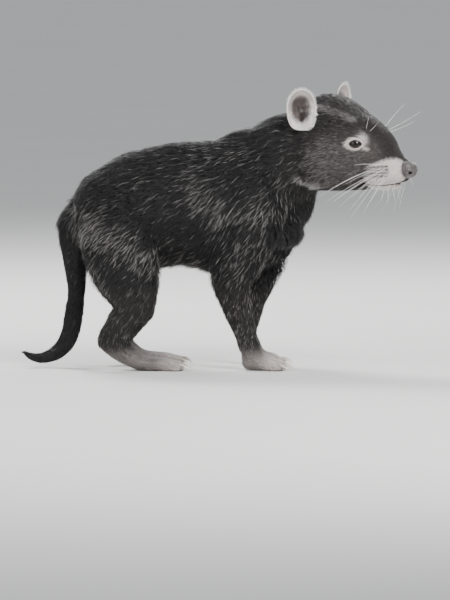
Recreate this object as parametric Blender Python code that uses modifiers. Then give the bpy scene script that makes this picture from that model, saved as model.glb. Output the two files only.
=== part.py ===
"""Tasmanian devil standing square, its head turned to its right: a life-size still model.

The body is lofted from named stations, fused into one skin, thinned to light facets
and parted by cuts of a hair's breadth into the pieces a person would name.
+X is forward, +Y is the animal's left, +Z is up, and the soles stand at Z = 0.
"""

import math

import bmesh
import bpy
import numpy as np
from mathutils import Matrix, Vector

MM = 0.001

# Driving sizes, in millimetres and degrees.
PART_GAP = 0.3  # width of every parting cut
VOXEL = 3.0  # grain of the fused body
BODY_TRIANGLES = 2980  # facets kept on the fused body
SOLE_CUT = 1.2  # how much of each rounded sole is cut flat
FAR_REACH = 40.0  # how far the left elbow is carried ahead of the right
STANCE_FORE = 50.0  # forefoot from the middle plane
STANCE_HIND = 54.0  # hind foot from the middle plane
HEAD_TURN = 34.0  # head turned to the animal's right
HEAD_X = 148.0  # the point midway between the ears
HEAD_Y = -14.0
HEAD_LIFT = 3.0  # raises every height on the head to the picture's outline
EYE_AHEAD = 79.0  # eyeball, forward of the ears
EYE_OUT = 34.5
EYE_UP = 316.5
EYE_RADIUS = 10.0
NOSE_AHEAD = 144.5
NOSE_UP = 281.5
NOSE_DEEP = 11.0
NOSE_HALF_WIDTH = 14.0
NOSE_HALF_HEIGHT = 12.2
EAR_HEIGHT = 66.0
EAR_HALF_WIDTH = 20.5
EAR_THICK = 2.6
EAR_OUT = 52.0
EAR_AHEAD = 1.0
EAR_UP = 330.0
# Each ear's outward lean, forward lean and the way its hollow faces from straight ahead.
EAR_POSE = {"right": (12.0, 6.0, 50.0), "left": (8.0, -5.0, 3.0)}
CLAW_LENGTH = 11.0
CLAW_RADIUS = 1.9

# Trunk stations from rump to chest: x, widest height, half width, reach up, reach down.
TRUNK = (
    (-203, 205, 34, 24, 22),
    (-188, 205, 50, 46, 36),
    (-168, 210, 61, 67, 56),
    (-141, 212, 69, 84, 68),
    (-112, 214, 72, 93, 74),
    (-81, 216, 74, 98, 73),
    (-51, 219, 75, 100, 71),
    (-29, 218, 75, 102, 74),
    (-5, 216, 74, 107, 80),
    (15, 216, 72, 113, 84),
    (36, 218, 69, 116, 83),
    (58, 222, 65, 118, 77),
    (80, 226, 58, 112, 75),
    (96, 226, 47, 90, 60),
    (104, 221, 27, 50, 34),
)

# Neck stations: x, y, z, half width, reach up, reach down, across the neck's own line.
NECK = (
    (30, 0, 238, 62, 90, 82),
    (62, -1, 257, 64, 84, 70),
    (92, -4, 279, 62, 75, 56),
    (118, -9, 299, 60, 70, 50),
    (138, -14, 314, 52, 58, 45),
)

# Head stations forward of the ears: ahead, widest height, half width, reach up, reach down.
HEAD = (
    (-42, 308, 42, 46, 38),
    (-28, 306, 52, 65, 46),
    (-10, 304, 58, 80, 52),
    (10, 302, 61, 84, 53),
    (30, 300, 60, 82, 51),
    (50, 300, 55, 75, 50),
    (66, 301, 49, 66, 50),
    (80, 302, 43, 52, 50),
    (93, 300, 37, 37, 48),
    (105, 293, 32, 26, 40),
    (117, 286, 28, 20, 31),
    (127, 281, 24, 19, 22),
    (134, 280, 20, 18, 16),
)

# Right foreleg: x, y, z, half width, reach forward, reach back.
FORELEG = (
    (42, -30, 300, 20, 36, 36),
    (50, -44, 255, 30, 47, 47),
    (44, -52, 205, 32, 46, 46),
    (28, -54, 162, 29, 39, 36),
    (20, -54, 132, 25, 31, 28),
    (23, -53, 110, 22, 25, 25),
    (26.5, -52, 95, 19, 22, 22),
    (31.5, -51, 78, 17, 20, 20),
    (37, -50, 60, 15.5, 18, 17.5),
    (41.5, -50, 45, 15, 16, 15.5),
    (45, -50, 32, 16, 15, 14),
    (50, -50, 17, 18, 16, 12),
)

# Right hind leg down to the heel.
HINDLEG = (
    (-140, -34, 250, 24, 38, 34),
    (-140, -46, 215, 34, 54, 46),
    (-137, -54, 175, 37, 56, 53),
    (-129, -57, 141, 34, 49, 47),
    (-122, -58, 122, 30, 44, 42),
    (-117, -58, 104, 27, 37, 36),
    (-116, -57, 87, 24, 30, 29),
    (-124, -56, 71, 20, 25, 25),
    (-136, -55, 56, 17, 22, 23),
    (-147, -54, 44, 15, 20, 20),
)

# Hind foot from heel to ball: x, z, half width, reach up, reach down.
HINDFOOT = (
    (-157, 44, 13, 15, 14),
    (-144, 33, 15, 16, 15),
    (-126, 21, 17, 15, 14),
    (-106, 12, 20, 10, 12),
    (-86, 9.5, 22, 9.5, 10.5),
    (-72, 9, 21, 9, 10),
)

# Forefoot from wrist to ball.
FOREFOOT = (
    (45, 12, 14, 12, 12),
    (56, 12, 19, 12, 12),
    (70, 9.5, 22, 9.5, 10.5),
    (79, 8.5, 21, 8.5, 9.5),
)

# Tail: x, y, z, radius.
TAIL = (
    (-180, 0, 226, 27),
    (-196, 0, 203, 25),
    (-200, 0, 176, 21),
    (-200, 1, 147, 16.5),
    (-198, 2, 113, 14.5),
    (-199, 3, 92, 14.5),
    (-201.5, 4, 72, 14.5),
    (-205, 5, 55, 14.2),
    (-210.5, 5, 39.5, 13.4),
    (-220, 5, 26, 12),
    (-234, 4, 16.5, 10),
    (-249, 3, 13, 8),
    (-262.5, 1, 16, 6.4),
    (-272, 0, 23.5, 5.2),
    (-278, -1, 32, 4),
)

# Toes: spread in degrees, start from the foot's line, reach of the tip ahead of its root.
FORE_TOES = ((-24, -14, 17), (-12, -8, 22), (0, 0, 24), (12, 8, 22), (26, 15, 15))
HIND_TOES = ((-15, -12.5, 22), (-5, -4.5, 27), (5, 4.5, 27), (15, 12.5, 23))
# Each foot: its distance from the middle plane, where its toes root, the toes and their radius.
FOREPAW = (STANCE_FORE, 71.0, FORE_TOES, 5.6)
HINDPAW = (STANCE_HIND, -76.0, HIND_TOES, 6.4)
# A toe's shape: share of its reach, swelling of its width, height of its middle in radii.
TOE_SHAPE = ((0, 1.0, 1.35), (0.45, 1.08, 1.3), (0.8, 1.0, 1.0), (1, 0.8, 0.9))
CLAW_SEAT = 1.28  # height of a claw's root in toe radii
CLAW_DROP = 4.2  # how far a claw curves down to its point
EAR_CUP = 15.0  # depth of the ear's hollow at its root
EAR_CUP_TIP = 6.0
EAR_WIDEST = 0.45  # share of the ear's height where it starts to round over


def clean_scene():
    """Empties the scene and leaves one collection for the pieces and one for the cutters."""
    for old in list(bpy.data.objects):
        bpy.data.objects.remove(old)
    groups = []
    for name in ("tasmanian_devil", "cutters"):
        group = bpy.data.collections.new(name)
        bpy.context.scene.collection.children.link(group)
        groups.append(group)
    return groups


PIECES, CUTTERS = clean_scene()


def new_object(name, verts, faces, group):
    """A mesh object from plain vertices and faces, its faces all turned outward."""
    mesh = bpy.data.meshes.new(name)
    mesh.from_pydata([tuple(v) for v in verts], [], faces)
    shape = bmesh.new()
    shape.from_mesh(mesh)
    bmesh.ops.remove_doubles(shape, verts=shape.verts, dist=1e-6)
    bmesh.ops.recalc_face_normals(shape, faces=shape.faces)
    shape.to_mesh(mesh)
    shape.free()
    made = bpy.data.objects.new(name, mesh)
    group.objects.link(made)
    return made


def spline(rows, per):
    """Rows eased through every station by a Catmull-Rom curve, `per` steps to a span."""
    rows = np.array(rows, float)
    ends = np.vstack([2 * rows[0] - rows[1], rows, 2 * rows[-1] - rows[-2]])
    out = []
    for i in range(len(rows) - 1):
        a, b, c, d = ends[i : i + 4]
        for k in range(per):
            t = k / per
            out.append(
                0.5
                * (
                    2 * b
                    + (c - a) * t
                    + (2 * a - 5 * b + 4 * c - d) * t**2
                    + (3 * b - a - 3 * c + d) * t**3
                )
            )
    out.append(rows[-1])
    return np.array(out)


def loft(name, rows, side, ring=24, per=4, square=2.0, group=None, rounding=(75, 50, 25)):
    """A closed form round a line of stations: x, y, z, half width, reach up, reach down.

    `side` is the way across; up is the line's direction crossed with it. `square` above 2
    gives flatter flanks. Both ends are rounded off.
    """
    rows = spline(rows, per)
    line = rows[:, :3]
    along = np.gradient(line, axis=0)
    along /= np.linalg.norm(along, axis=1)[:, None]
    across = np.array(side, float)[None] - (along @ np.array(side, float))[:, None] * along
    across /= np.linalg.norm(across, axis=1)[:, None]
    up = np.cross(along, across)
    turns = np.linspace(0, 2 * math.pi, ring, endpoint=False)
    cos, sin = np.cos(turns), np.sin(turns)
    cos = np.sign(cos) * np.abs(cos) ** (2 / square)
    sin = np.sign(sin) * np.abs(sin) ** (2 / square)

    def ring_at(i, shrink, push):
        wide, high, low = rows[i, 3:6] * shrink
        reach = np.where(sin > 0, high, low)
        middle = line[i] + along[i] * push
        return middle + cos[:, None] * wide * across[i] + (sin * reach)[:, None] * up[i]

    rings = []
    for angle in rounding:
        depth = rows[0, 3:6].min() * math.sin(math.radians(angle))
        rings.append(ring_at(0, math.cos(math.radians(angle)), -depth))
    rings += [ring_at(i, 1.0, 0.0) for i in range(len(rows))]
    for angle in reversed(rounding):
        depth = rows[-1, 3:6].min() * math.sin(math.radians(angle))
        rings.append(ring_at(-1, math.cos(math.radians(angle)), depth))
    first = line[0] - along[0] * rows[0, 3:6].min()
    last = line[-1] + along[-1] * rows[-1, 3:6].min()
    verts = np.vstack([first[None], *rings, last[None]]) * MM
    faces = []
    for r in range(len(rings) - 1):
        for k in range(ring):
            a = 1 + r * ring + k
            b = 1 + r * ring + (k + 1) % ring
            faces.append((a, b, b + ring, a + ring))
    top = len(verts) - 1
    for k in range(ring):
        faces.append((0, 1 + (k + 1) % ring, 1 + k))
        faces.append((top, top - ring + k, top - ring + (k + 1) % ring))
    return new_object(name, verts, faces, group or CUTTERS)


def ball(name, middle, radii, group=None, rings=12):
    """An ellipsoid from Blender's own sphere."""
    shape = bmesh.new()
    bmesh.ops.create_uvsphere(shape, u_segments=2 * rings, v_segments=rings, radius=MM)
    bmesh.ops.scale(shape, vec=Vector(radii), verts=shape.verts)
    bmesh.ops.translate(shape, vec=Vector(middle) * MM, verts=shape.verts)
    mesh = bpy.data.meshes.new(name)
    shape.to_mesh(mesh)
    shape.free()
    made = bpy.data.objects.new(name, mesh)
    (group or CUTTERS).objects.link(made)
    return made


def half_space(name, point, way, across, size, depth):
    """A block whose near face passes through a point and which reaches `depth` the given way."""
    way = Vector(way).normalized()
    across = Vector(across)
    across = (across - across.dot(way) * way).normalized()
    third = way.cross(across)
    turn = Matrix((across, third, way)).transposed().to_4x4()
    shape = bmesh.new()
    bmesh.ops.create_cube(shape, size=1.0)
    bmesh.ops.scale(shape, vec=Vector((size[0], size[1], depth)) * MM, verts=shape.verts)
    bmesh.ops.translate(shape, vec=Vector((0, 0, depth * MM / 2)), verts=shape.verts)
    bmesh.ops.transform(shape, matrix=turn, verts=shape.verts)
    bmesh.ops.translate(shape, vec=Vector(point) * MM, verts=shape.verts)
    bmesh.ops.recalc_face_normals(shape, faces=shape.faces)
    mesh = bpy.data.meshes.new(name)
    shape.to_mesh(mesh)
    shape.free()
    made = bpy.data.objects.new(name, mesh)
    CUTTERS.objects.link(made)
    return made


def settle(item):
    """Turns an object's modifiers into plain mesh."""
    graph = bpy.context.evaluated_depsgraph_get()
    graph.update()
    mesh = bpy.data.meshes.new_from_object(item.evaluated_get(graph))
    item.modifiers.clear()
    item.data = mesh
    return item


def copy_of(item, name, group):
    made = bpy.data.objects.new(name, item.data.copy())
    group.objects.link(made)
    return made


def grown(item, amount):
    """A twin whose every face stands `amount` millimetres further out."""
    twin = copy_of(item, item.name + "_grown", CUTTERS)
    shape = bmesh.new()
    shape.from_mesh(twin.data)
    shape.normal_update()
    moves = [v.normal * min(v.calc_shell_factor(), 2.0) for v in shape.verts]
    for vert, move in zip(shape.verts, moves):
        vert.co += move * amount * MM
    shape.to_mesh(twin.data)
    shape.free()
    return twin


def boolean(item, cutter, operation):
    step = item.modifiers.new(operation.lower(), "BOOLEAN")
    step.operation = operation
    step.solver = "EXACT"
    step.object = cutter
    return settle(item)


def largest_body(item):
    """Keeps the greatest connected body of a mesh and drops any crumbs a cut has left."""
    shape = bmesh.new()
    shape.from_mesh(item.data)
    bmesh.ops.remove_doubles(shape, verts=shape.verts, dist=0.00002)
    unseen = set(shape.verts)
    best = set()
    while unseen:
        stack = [unseen.pop()]
        found = set(stack)
        while stack:
            for edge in stack.pop().link_edges:
                for vert in edge.verts:
                    if vert in unseen:
                        unseen.remove(vert)
                        found.add(vert)
                        stack.append(vert)
        if len(found) > len(best):
            best = found
    crumbs = [v for v in shape.verts if v not in best]
    bmesh.ops.delete(shape, geom=crumbs, context="VERTS")
    shape.to_mesh(item.data)
    shape.free()
    return item


def triangulated(item):
    """Makes every face of a cutter a triangle, so that the cutter and its twin bend alike."""
    shape = bmesh.new()
    shape.from_mesh(item.data)
    bmesh.ops.triangulate(shape, faces=shape.faces)
    shape.to_mesh(item.data)
    shape.free()
    return item


def part_off(body, cutter, name):
    """Takes the piece of the body inside a cutter, and leaves a hair's breadth round it."""
    triangulated(cutter)
    piece = copy_of(body, name, PIECES)
    boolean(piece, cutter, "INTERSECT")
    boolean(body, grown(cutter, PART_GAP), "DIFFERENCE")
    largest_body(piece)
    largest_body(body)
    return piece


TURN = math.radians(HEAD_TURN)
AHEAD = np.array((math.cos(TURN), -math.sin(TURN), 0.0))
LEFT = np.array((math.sin(TURN), math.cos(TURN), 0.0))
UP = np.array((0.0, 0.0, 1.0))


def in_head(ahead, left, height):
    """A point given forward of the ears, to the animal's left, and in height over the floor."""
    return np.array((HEAD_X, HEAD_Y, HEAD_LIFT)) + ahead * AHEAD + left * LEFT + height * UP


def head_row(ahead, height, wide, up, down):
    return (*in_head(ahead, 0, height), wide, up, down)


def mirrored(rows):
    return [(r[0], -r[1], *r[2:]) for r in rows]


def far_foreleg(rows):
    """The left foreleg: its elbow is carried further forward, its foot stands level."""
    out = []
    for x, y, z, *reach in rows:
        above_wrist = min(max((z - 52) / 75, 0.0), 1.0)
        above_elbow = min(max((z - 150) / 90, 0.0), 1.0)
        forward = FAR_REACH * (above_wrist - above_elbow)
        out.append((x + forward, -y, z, *reach))
    return out


def foot(name, rows, y):
    return loft(name, [(x, y, z, w, u, d) for x, z, w, u, d in rows], (0, 1, 0), per=3)


def toe_lines(paw, sign):
    """Root, heading, reach and radius of each toe of a foot, the outermost first."""
    stance, root, plan, radius = paw
    for spread, start, reach in plan:
        heading = math.radians(-spread) * sign
        way = np.array((math.cos(heading), math.sin(heading), 0.0))
        base = np.array((root, (stance - start) * sign, 0.0))
        yield base, way, reach, radius


def toes(name, paw, sign):
    """The toes of one foot, each a short knuckled finger lying on the floor."""
    for number, (base, way, reach, radius) in enumerate(toe_lines(paw, sign), 1):
        side = np.cross(UP, way)
        rows = []
        for share, swell, lift in TOE_SHAPE:
            middle = base + way * reach * share + UP * radius * lift
            rows.append((*middle, radius * swell, radius * swell, radius * (lift + 0.18)))
        loft(f"{name}_{number}", rows, side, ring=12, per=2)


def body_forms():
    """Every flesh form that is fused into the body."""
    loft("trunk_form", [(x, 0, z, w, u, d) for x, z, w, u, d in TRUNK], (0, 1, 0), square=2.15)
    loft("neck_form", NECK, (0.25, 1, 0), square=2.1)
    loft("head_form", [head_row(*row) for row in HEAD], LEFT, ring=32, square=2.25)
    for sign in (-1, 1):
        ball(f"cheek_form_{sign}", in_head(18, sign * 36, 290), (36, 27, 38))
        ball(f"brow_form_{sign}", in_head(74, sign * 30, 329), (20, 14, 14))
        ball(f"lip_form_{sign}", in_head(108, sign * 15, 275), (26, 14, 14))
    ball("chin_form", in_head(104, 0, 262), (26, 20, 11))
    tail = [(x, y, z, r, r, r) for x, y, z, r in TAIL]
    loft("tail_form", tail, (0, 1, 0), ring=20)
    loft("foreleg_form_right", FORELEG, (0, 1, 0))
    loft("foreleg_form_left", far_foreleg(FORELEG), (0, 1, 0))
    loft("hindleg_form_right", HINDLEG, (0, 1, 0))
    loft("hindleg_form_left", mirrored(HINDLEG), (0, 1, 0))
    for side, sign in (("right", -1), ("left", 1)):
        foot(f"forefoot_form_{side}", FOREFOOT, sign * STANCE_FORE)
        foot(f"hindfoot_form_{side}", HINDFOOT, sign * STANCE_HIND)
        toes(f"foretoe_form_{side}", FOREPAW, sign)
        toes(f"hindtoe_form_{side}", HINDPAW, sign)


def fused_body():
    """All flesh forms as one skin: joined, remeshed, eased at the junctions and thinned."""
    body_forms()
    forms = list(CUTTERS.objects)
    joined = bmesh.new()
    for form in forms:
        joined.from_mesh(form.data)
        bpy.data.objects.remove(form)
    mesh = bpy.data.meshes.new("body")
    joined.to_mesh(mesh)
    joined.free()
    body = bpy.data.objects.new("body", mesh)
    CUTTERS.objects.link(body)
    grain = body.modifiers.new("fuse", "REMESH")
    grain.mode = "VOXEL"
    grain.voxel_size = VOXEL * MM
    settle(body)
    ease = body.vertex_groups.new(name="ease")
    for vert in body.data.vertices:
        height = vert.co.z / MM
        ease.add([vert.index], min(max((height - 14) / 40, 0.12), 1.0), "REPLACE")
    smooth = body.modifiers.new("ease", "SMOOTH")
    smooth.factor = 0.5
    smooth.iterations = 14
    smooth.vertex_group = "ease"
    settle(body)
    body.vertex_groups.clear()
    coarse = body.vertex_groups.new(name="coarse")
    for vert in body.data.vertices:
        x, height = vert.co.x / MM, vert.co.z / MM
        fine = max(min((x - 120) / 60, 1.0), min((60 - height) / 40, 1.0), 0.0)
        coarse.add([vert.index], 1.0 - 0.3 * fine, "REPLACE")
    triangles = sum(len(p.vertices) - 2 for p in body.data.polygons)
    thin = body.modifiers.new("thin", "DECIMATE")
    thin.ratio = BODY_TRIANGLES / triangles
    thin.vertex_group = "coarse"
    settle(body)
    body.vertex_groups.clear()
    floor = half_space("under_floor", (0, 0, 0), (0, 0, -1), (1, 0, 0), (900, 500), 60)
    boolean(body, floor, "DIFFERENCE")
    return largest_body(body)


def ear(side, sign):
    """A rounded, cupped ear, its hollow turned outward and forward."""
    lean, tip, facing = (math.radians(angle) for angle in EAR_POSE[side])
    rise = UP * math.cos(lean) + LEFT * sign * math.sin(lean) + AHEAD * math.sin(tip)
    rise /= np.linalg.norm(rise)
    front = AHEAD * math.cos(facing) + LEFT * sign * math.sin(facing)
    front -= rise * front.dot(rise)
    front /= np.linalg.norm(front)
    across = np.cross(rise, front)
    root = in_head(EAR_AHEAD, sign * EAR_OUT, EAR_UP)
    rows, columns = 8, 7
    verts = []
    for i in range(rows):
        share = math.sin(i / rows * math.pi / 2) ** 1.1
        width = EAR_HALF_WIDTH * (0.62 + 0.38 * math.sin(math.pi * min(share / 0.55, 1) / 2))
        over = max((share - EAR_WIDEST) / (1 - EAR_WIDEST), 0)
        width *= math.sqrt(max(1 - over**2.4, 0))
        cup = EAR_CUP + (EAR_CUP_TIP - EAR_CUP) * share
        for j in range(columns):
            t = 2 * j / (columns - 1) - 1
            lift = EAR_HEIGHT * share - 4 * (1 - share) * t * t
            back = cup * (1 - t * t) - 3
            verts.append(root + rise * lift + across * width * t - front * back)
    verts.append(root + rise * EAR_HEIGHT - front * (EAR_CUP_TIP - 3))
    faces = []
    for i in range(rows - 1):
        for j in range(columns - 1):
            a = i * columns + j
            faces.append((a, a + 1, a + 1 + columns, a + columns))
    last = (rows - 1) * columns
    for j in range(columns - 1):
        faces.append((last + j, last + j + 1, len(verts) - 1))
    made = new_object(f"ear_{side}", np.array(verts) * MM, faces, PIECES)
    thick = made.modifiers.new("thick", "SOLIDIFY")
    thick.thickness = EAR_THICK * MM
    thick.offset = 0
    thick.use_even_offset = True
    return settle(made)


def nose():
    """The bare nose pad: a rounded block over the end of the muzzle."""
    made = ball("nose", in_head(0, 0, 0), (1, 1, 1), PIECES, rings=8)
    for vert in made.data.vertices:
        local = (vert.co / MM) - Vector(in_head(0, 0, 0))
        spread = 1.0 + 0.22 * local.z
        place = in_head(
            NOSE_AHEAD + NOSE_DEEP * local.x,
            NOSE_HALF_WIDTH * local.y * spread,
            NOSE_UP + NOSE_HALF_HEIGHT * local.z,
        )
        vert.co = Vector(place) * MM
    return made


def claw(name, base, way, radius):
    """One curved claw, a little deeper than wide, its point clear of the floor."""
    rows = []
    for share in (0.0, 0.35, 0.7, 1.0):
        thick = radius * (1 - 0.8 * share)
        drop = CLAW_DROP * share**1.7
        middle = base + way * CLAW_LENGTH * share - UP * drop
        rows.append((*middle, thick * 0.8, thick, thick))
    side = np.cross(UP, way)
    return loft(name, rows, side, ring=6, per=1, group=PIECES, rounding=())


def claws(name, paw, sign, foot_piece):
    """The claws of one foot, each seated in the tip of its toe."""
    for number, (base, way, reach, radius) in enumerate(toe_lines(paw, sign), 1):
        seat = base + way * (reach + radius * 0.1) + UP * radius * CLAW_SEAT
        made = claw(f"{name}_{number}", seat, way, CLAW_RADIUS)
        boolean(foot_piece, grown(made, PART_GAP), "DIFFERENCE")
        largest_body(foot_piece)


def leg_pieces(body, side, sign):
    """Foot, lower leg and upper leg of one side, fore and hind."""
    y_fore, y_hind = sign * STANCE_FORE, sign * STANCE_HIND
    made = {}
    ankle_at, wrist_at = (-127, y_hind, 42), (44, y_fore, 29)
    ankle = half_space(f"ankle_{side}", ankle_at, (0.45, 0, -0.9), (0, 1, 0), (84, 150), 80)
    made["hindfoot"] = part_off(body, ankle, f"hindfoot_{side}")
    knee_at, elbow_at = (-118, y_hind, 92), (30, y_fore, 117)
    knee = half_space(f"knee_{side}", knee_at, (-0.25, 0, -0.97), (0, 1, 0), (84, 120), 90)
    made["shank"] = part_off(body, knee, f"shank_{side}")
    hip_rows = [
        (-140, sign * 66, 222, 34, 36, 34),
        (-138, sign * 74, 185, 46, 56, 52),
        (-130, sign * 76, 145, 52, 60, 56),
        (-120, sign * 76, 100, 54, 64, 60),
        (-118, sign * 76, 60, 54, 64, 60),
    ]
    hip = loft(f"hip_{side}", hip_rows, (0, 1, 0), ring=12, per=1, rounding=(45,))
    made["thigh"] = part_off(body, hip, f"thigh_{side}")
    wrist = half_space(f"wrist_{side}", wrist_at, (0.12, 0, -1), (0, 1, 0), (70, 130), 60)
    made["forefoot"] = part_off(body, wrist, f"forefoot_{side}")
    elbow = half_space(f"elbow_{side}", elbow_at, (0, 0, -1), (0, 1, 0), (76, 140), 110)
    made["forearm"] = part_off(body, elbow, f"forearm_{side}")
    ahead = 12 if sign > 0 else 0
    shoulder_rows = [
        (42 + ahead * 0.3, sign * 70, 268, 30, 30, 32),
        (46 + ahead, sign * 74, 232, 44, 42, 42),
        (42 + ahead, sign * 75, 190, 50, 50, 50),
        (30 + ahead, sign * 75, 150, 52, 52, 50),
        (30 + ahead, sign * 75, 90, 54, 54, 54),
    ]
    shoulder = loft(f"shoulder_{side}", shoulder_rows, (0, 1, 0), ring=12, per=1, rounding=(45,))
    made["upper_arm"] = part_off(body, shoulder, f"upper_arm_{side}")
    return made


def build():
    body = fused_body()
    limbs = {}
    for side, sign in (("right", -1), ("left", 1)):
        limbs[side] = leg_pieces(body, side, sign)

    tail_tip = half_space("tail_tip_cut", (-224, 5, 26), (-0.76, 0, -0.65), (0, 1, 0), (60, 60), 90)
    part_off(body, tail_tip, "tail_tip")
    tail_middle = half_space("tail_middle_cut", (-200, 3, 112), (0, 0, -1), (0, 1, 0), (46, 60), 110)
    part_off(body, tail_middle, "tail_middle")
    tail_root = loft(
        "tail_root_cut",
        [
            (-214, 0, 204, 27, 27, 27),
            (-212, 0, 180, 26, 30, 26),
            (-206, 0, 150, 24, 26, 24),
            (-200, 2, 110, 22, 22, 22),
        ],
        (0, 1, 0),
        ring=12,
        per=1,
        rounding=(45,),
    )
    part_off(body, tail_root, "tail_base")

    neck_cut = half_space("neck_cut", (74, 0, 262), (0.81, 0, 0.59), (0, 1, 0), (420, 420), 420)
    neck = part_off(body, neck_cut, "neck")
    loin_cut = half_space("loin_cut", (-14, 0, 200), (-1, 0, 0), (0, 1, 0), (420, 420), 420)
    part_off(body, loin_cut, "loin")
    body.name = "chest"
    CUTTERS.objects.unlink(body)
    PIECES.objects.link(body)

    nape = in_head(-24, 0, 330)
    head_cut = half_space("head_cut", nape, AHEAD * 0.97 + UP * 0.24, LEFT, (420, 420), 300)
    head = part_off(neck, head_cut, "head")
    mouth = in_head(50, 0, 262.5)
    jaw_cut = half_space("jaw_cut", mouth, -UP + AHEAD * 0.05, LEFT, (140, 190), 60)
    jaw_cut.data.transform(Matrix.Translation(Vector(AHEAD * 100) * MM))
    part_off(head, jaw_cut, "jaw")

    pad = nose()
    boolean(head, grown(pad, PART_GAP), "DIFFERENCE")
    largest_body(head)
    for side, sign in (("right", -1), ("left", 1)):
        blade = ear(side, sign)
        boolean(blade, grown(head, PART_GAP), "DIFFERENCE")
        largest_body(blade)
        centre = in_head(EYE_AHEAD, sign * EYE_OUT, EYE_UP)
        eye = ball(f"eye_{side}", centre, (EYE_RADIUS,) * 3, PIECES, rings=8)
        boolean(head, grown(eye, PART_GAP), "DIFFERENCE")
        largest_body(head)
        claws(f"foreclaw_{side}", FOREPAW, sign, limbs[side]["forefoot"])
        claws(f"hindclaw_{side}", HINDPAW, sign, limbs[side]["hindfoot"])


COLOURS = {
    "coat": (0.03, 0.027, 0.025, 0.8),
    "face": (0.10, 0.085, 0.078, 0.75),
    "skin": (0.42, 0.27, 0.24, 0.6),
    "claw": (0.55, 0.48, 0.38, 0.45),
    "eye": (0.01, 0.008, 0.007, 0.12),
}


def kind_of(name):
    if "claw" in name:
        return "claw"
    if "eye" in name:
        return "eye"
    if "ear_" in name and "fore" not in name or name == "nose":
        return "skin"
    if name in ("head", "jaw"):
        return "face"
    return "coat"


def finish():
    """Centres the model over the origin and gives each piece a material of its own."""
    corners = np.array([tuple(v.co) for item in PIECES.objects for v in item.data.vertices])
    low, high = corners.min(0), corners.max(0)
    shift = Vector((-(low[0] + high[0]) / 2, -(low[1] + high[1]) / 2, -low[2]))
    for item in PIECES.objects:
        item.data.transform(Matrix.Translation(shift))
        red, green, blue, rough = COLOURS[kind_of(item.name)]
        material = bpy.data.materials.new(item.name)
        material.use_nodes = True
        shader = material.node_tree.nodes["Principled BSDF"]
        shader.inputs["Base Color"].default_value = (red, green, blue, 1.0)
        shader.inputs["Roughness"].default_value = rough
        shader.inputs["Metallic"].default_value = 0.0
        item.data.materials.clear()
        item.data.materials.append(material)
    for item in CUTTERS.objects:
        item.data.transform(Matrix.Translation(shift))
        item.hide_render = True
        item.display_type = "WIRE"


build()
finish()
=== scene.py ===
# %% [markdown]
# # A Tasmanian devil, as a museum shows it
#
# The animal stands on four feet with its head turned to its right. The solids of the
# frame give its place, its size and its outline out to the tips of the coat. This file
# gives it a skin, eyes, nose, ears, claws and whiskers, and then a coat of fur.
# We begin by loading the frame.

# %% Load the frame
import math

import bmesh
import bpy
import numpy as np
from mathutils import Matrix, Vector, bvhtree, kdtree


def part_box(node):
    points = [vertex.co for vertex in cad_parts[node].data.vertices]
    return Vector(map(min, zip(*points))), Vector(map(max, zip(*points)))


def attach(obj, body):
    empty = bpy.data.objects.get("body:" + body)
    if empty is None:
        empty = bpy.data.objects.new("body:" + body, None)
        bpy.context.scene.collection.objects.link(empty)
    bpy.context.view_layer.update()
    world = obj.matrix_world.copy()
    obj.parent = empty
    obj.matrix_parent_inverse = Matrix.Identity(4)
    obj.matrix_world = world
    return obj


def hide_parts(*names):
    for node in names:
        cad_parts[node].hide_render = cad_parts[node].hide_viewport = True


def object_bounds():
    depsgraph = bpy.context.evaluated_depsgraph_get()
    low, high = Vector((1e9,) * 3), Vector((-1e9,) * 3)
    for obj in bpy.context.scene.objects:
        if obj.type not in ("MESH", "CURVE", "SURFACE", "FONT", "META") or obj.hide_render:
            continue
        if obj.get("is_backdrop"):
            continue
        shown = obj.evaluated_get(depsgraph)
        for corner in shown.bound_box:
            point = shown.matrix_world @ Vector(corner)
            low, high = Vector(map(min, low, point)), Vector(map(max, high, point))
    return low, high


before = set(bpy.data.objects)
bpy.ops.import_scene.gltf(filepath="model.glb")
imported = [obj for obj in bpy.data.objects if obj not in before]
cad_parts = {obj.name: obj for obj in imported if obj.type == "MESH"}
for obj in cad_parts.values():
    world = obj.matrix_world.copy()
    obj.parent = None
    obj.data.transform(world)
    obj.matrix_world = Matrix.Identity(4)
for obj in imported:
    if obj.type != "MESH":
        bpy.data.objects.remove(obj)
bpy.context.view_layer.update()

MM = 0.001
rng = np.random.default_rng(11)

# %% [markdown]
# ## Where things are
#
# Everything on the head is easier to place in the head's own directions. The two
# eyeballs of the frame tell us those directions: left runs from the right eye to the
# left one, up is the world's up, and ahead is the third.

# %% Landmarks of the head


def middle_of(node):
    """The middle of a frame node's box."""
    low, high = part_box(node)
    return np.array((low + high) / 2)


EYE_AHEAD = 79 * MM  # the eyeballs, ahead of the point between the ears
eye_spot = {side: middle_of("eye_" + side) for side in ("right", "left")}
low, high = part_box("eye_right")
EYE_RADIUS = (high[2] - low[2]) / 2 / MM
UP = np.array((0.0, 0.0, 1.0))
LEFT = eye_spot["left"] - eye_spot["right"]
LEFT /= np.linalg.norm(LEFT)
AHEAD = np.cross(LEFT, UP)
NAPE = (eye_spot["right"] + eye_spot["left"]) / 2 - AHEAD * EYE_AHEAD
NAPE[2] = 0.0
SIDES = (("right", -1), ("left", 1))


def in_head(ahead, left, height):
    """A point from millimetres ahead of the ears, to the left, and over the floor."""
    return NAPE + (ahead * AHEAD + left * LEFT + height * UP) * MM


def head_coords(points):
    """Points as millimetres ahead of the ears, to the left, and over the floor."""
    away = (points - NAPE) / MM
    return away @ AHEAD, away @ LEFT, away[:, 2]


def both_sides(points):
    """Points as ahead, out and height, with the left side of the head laid on the right."""
    ahead, left, height = head_coords(points)
    return np.stack([ahead, np.abs(left), height], 1)


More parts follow.
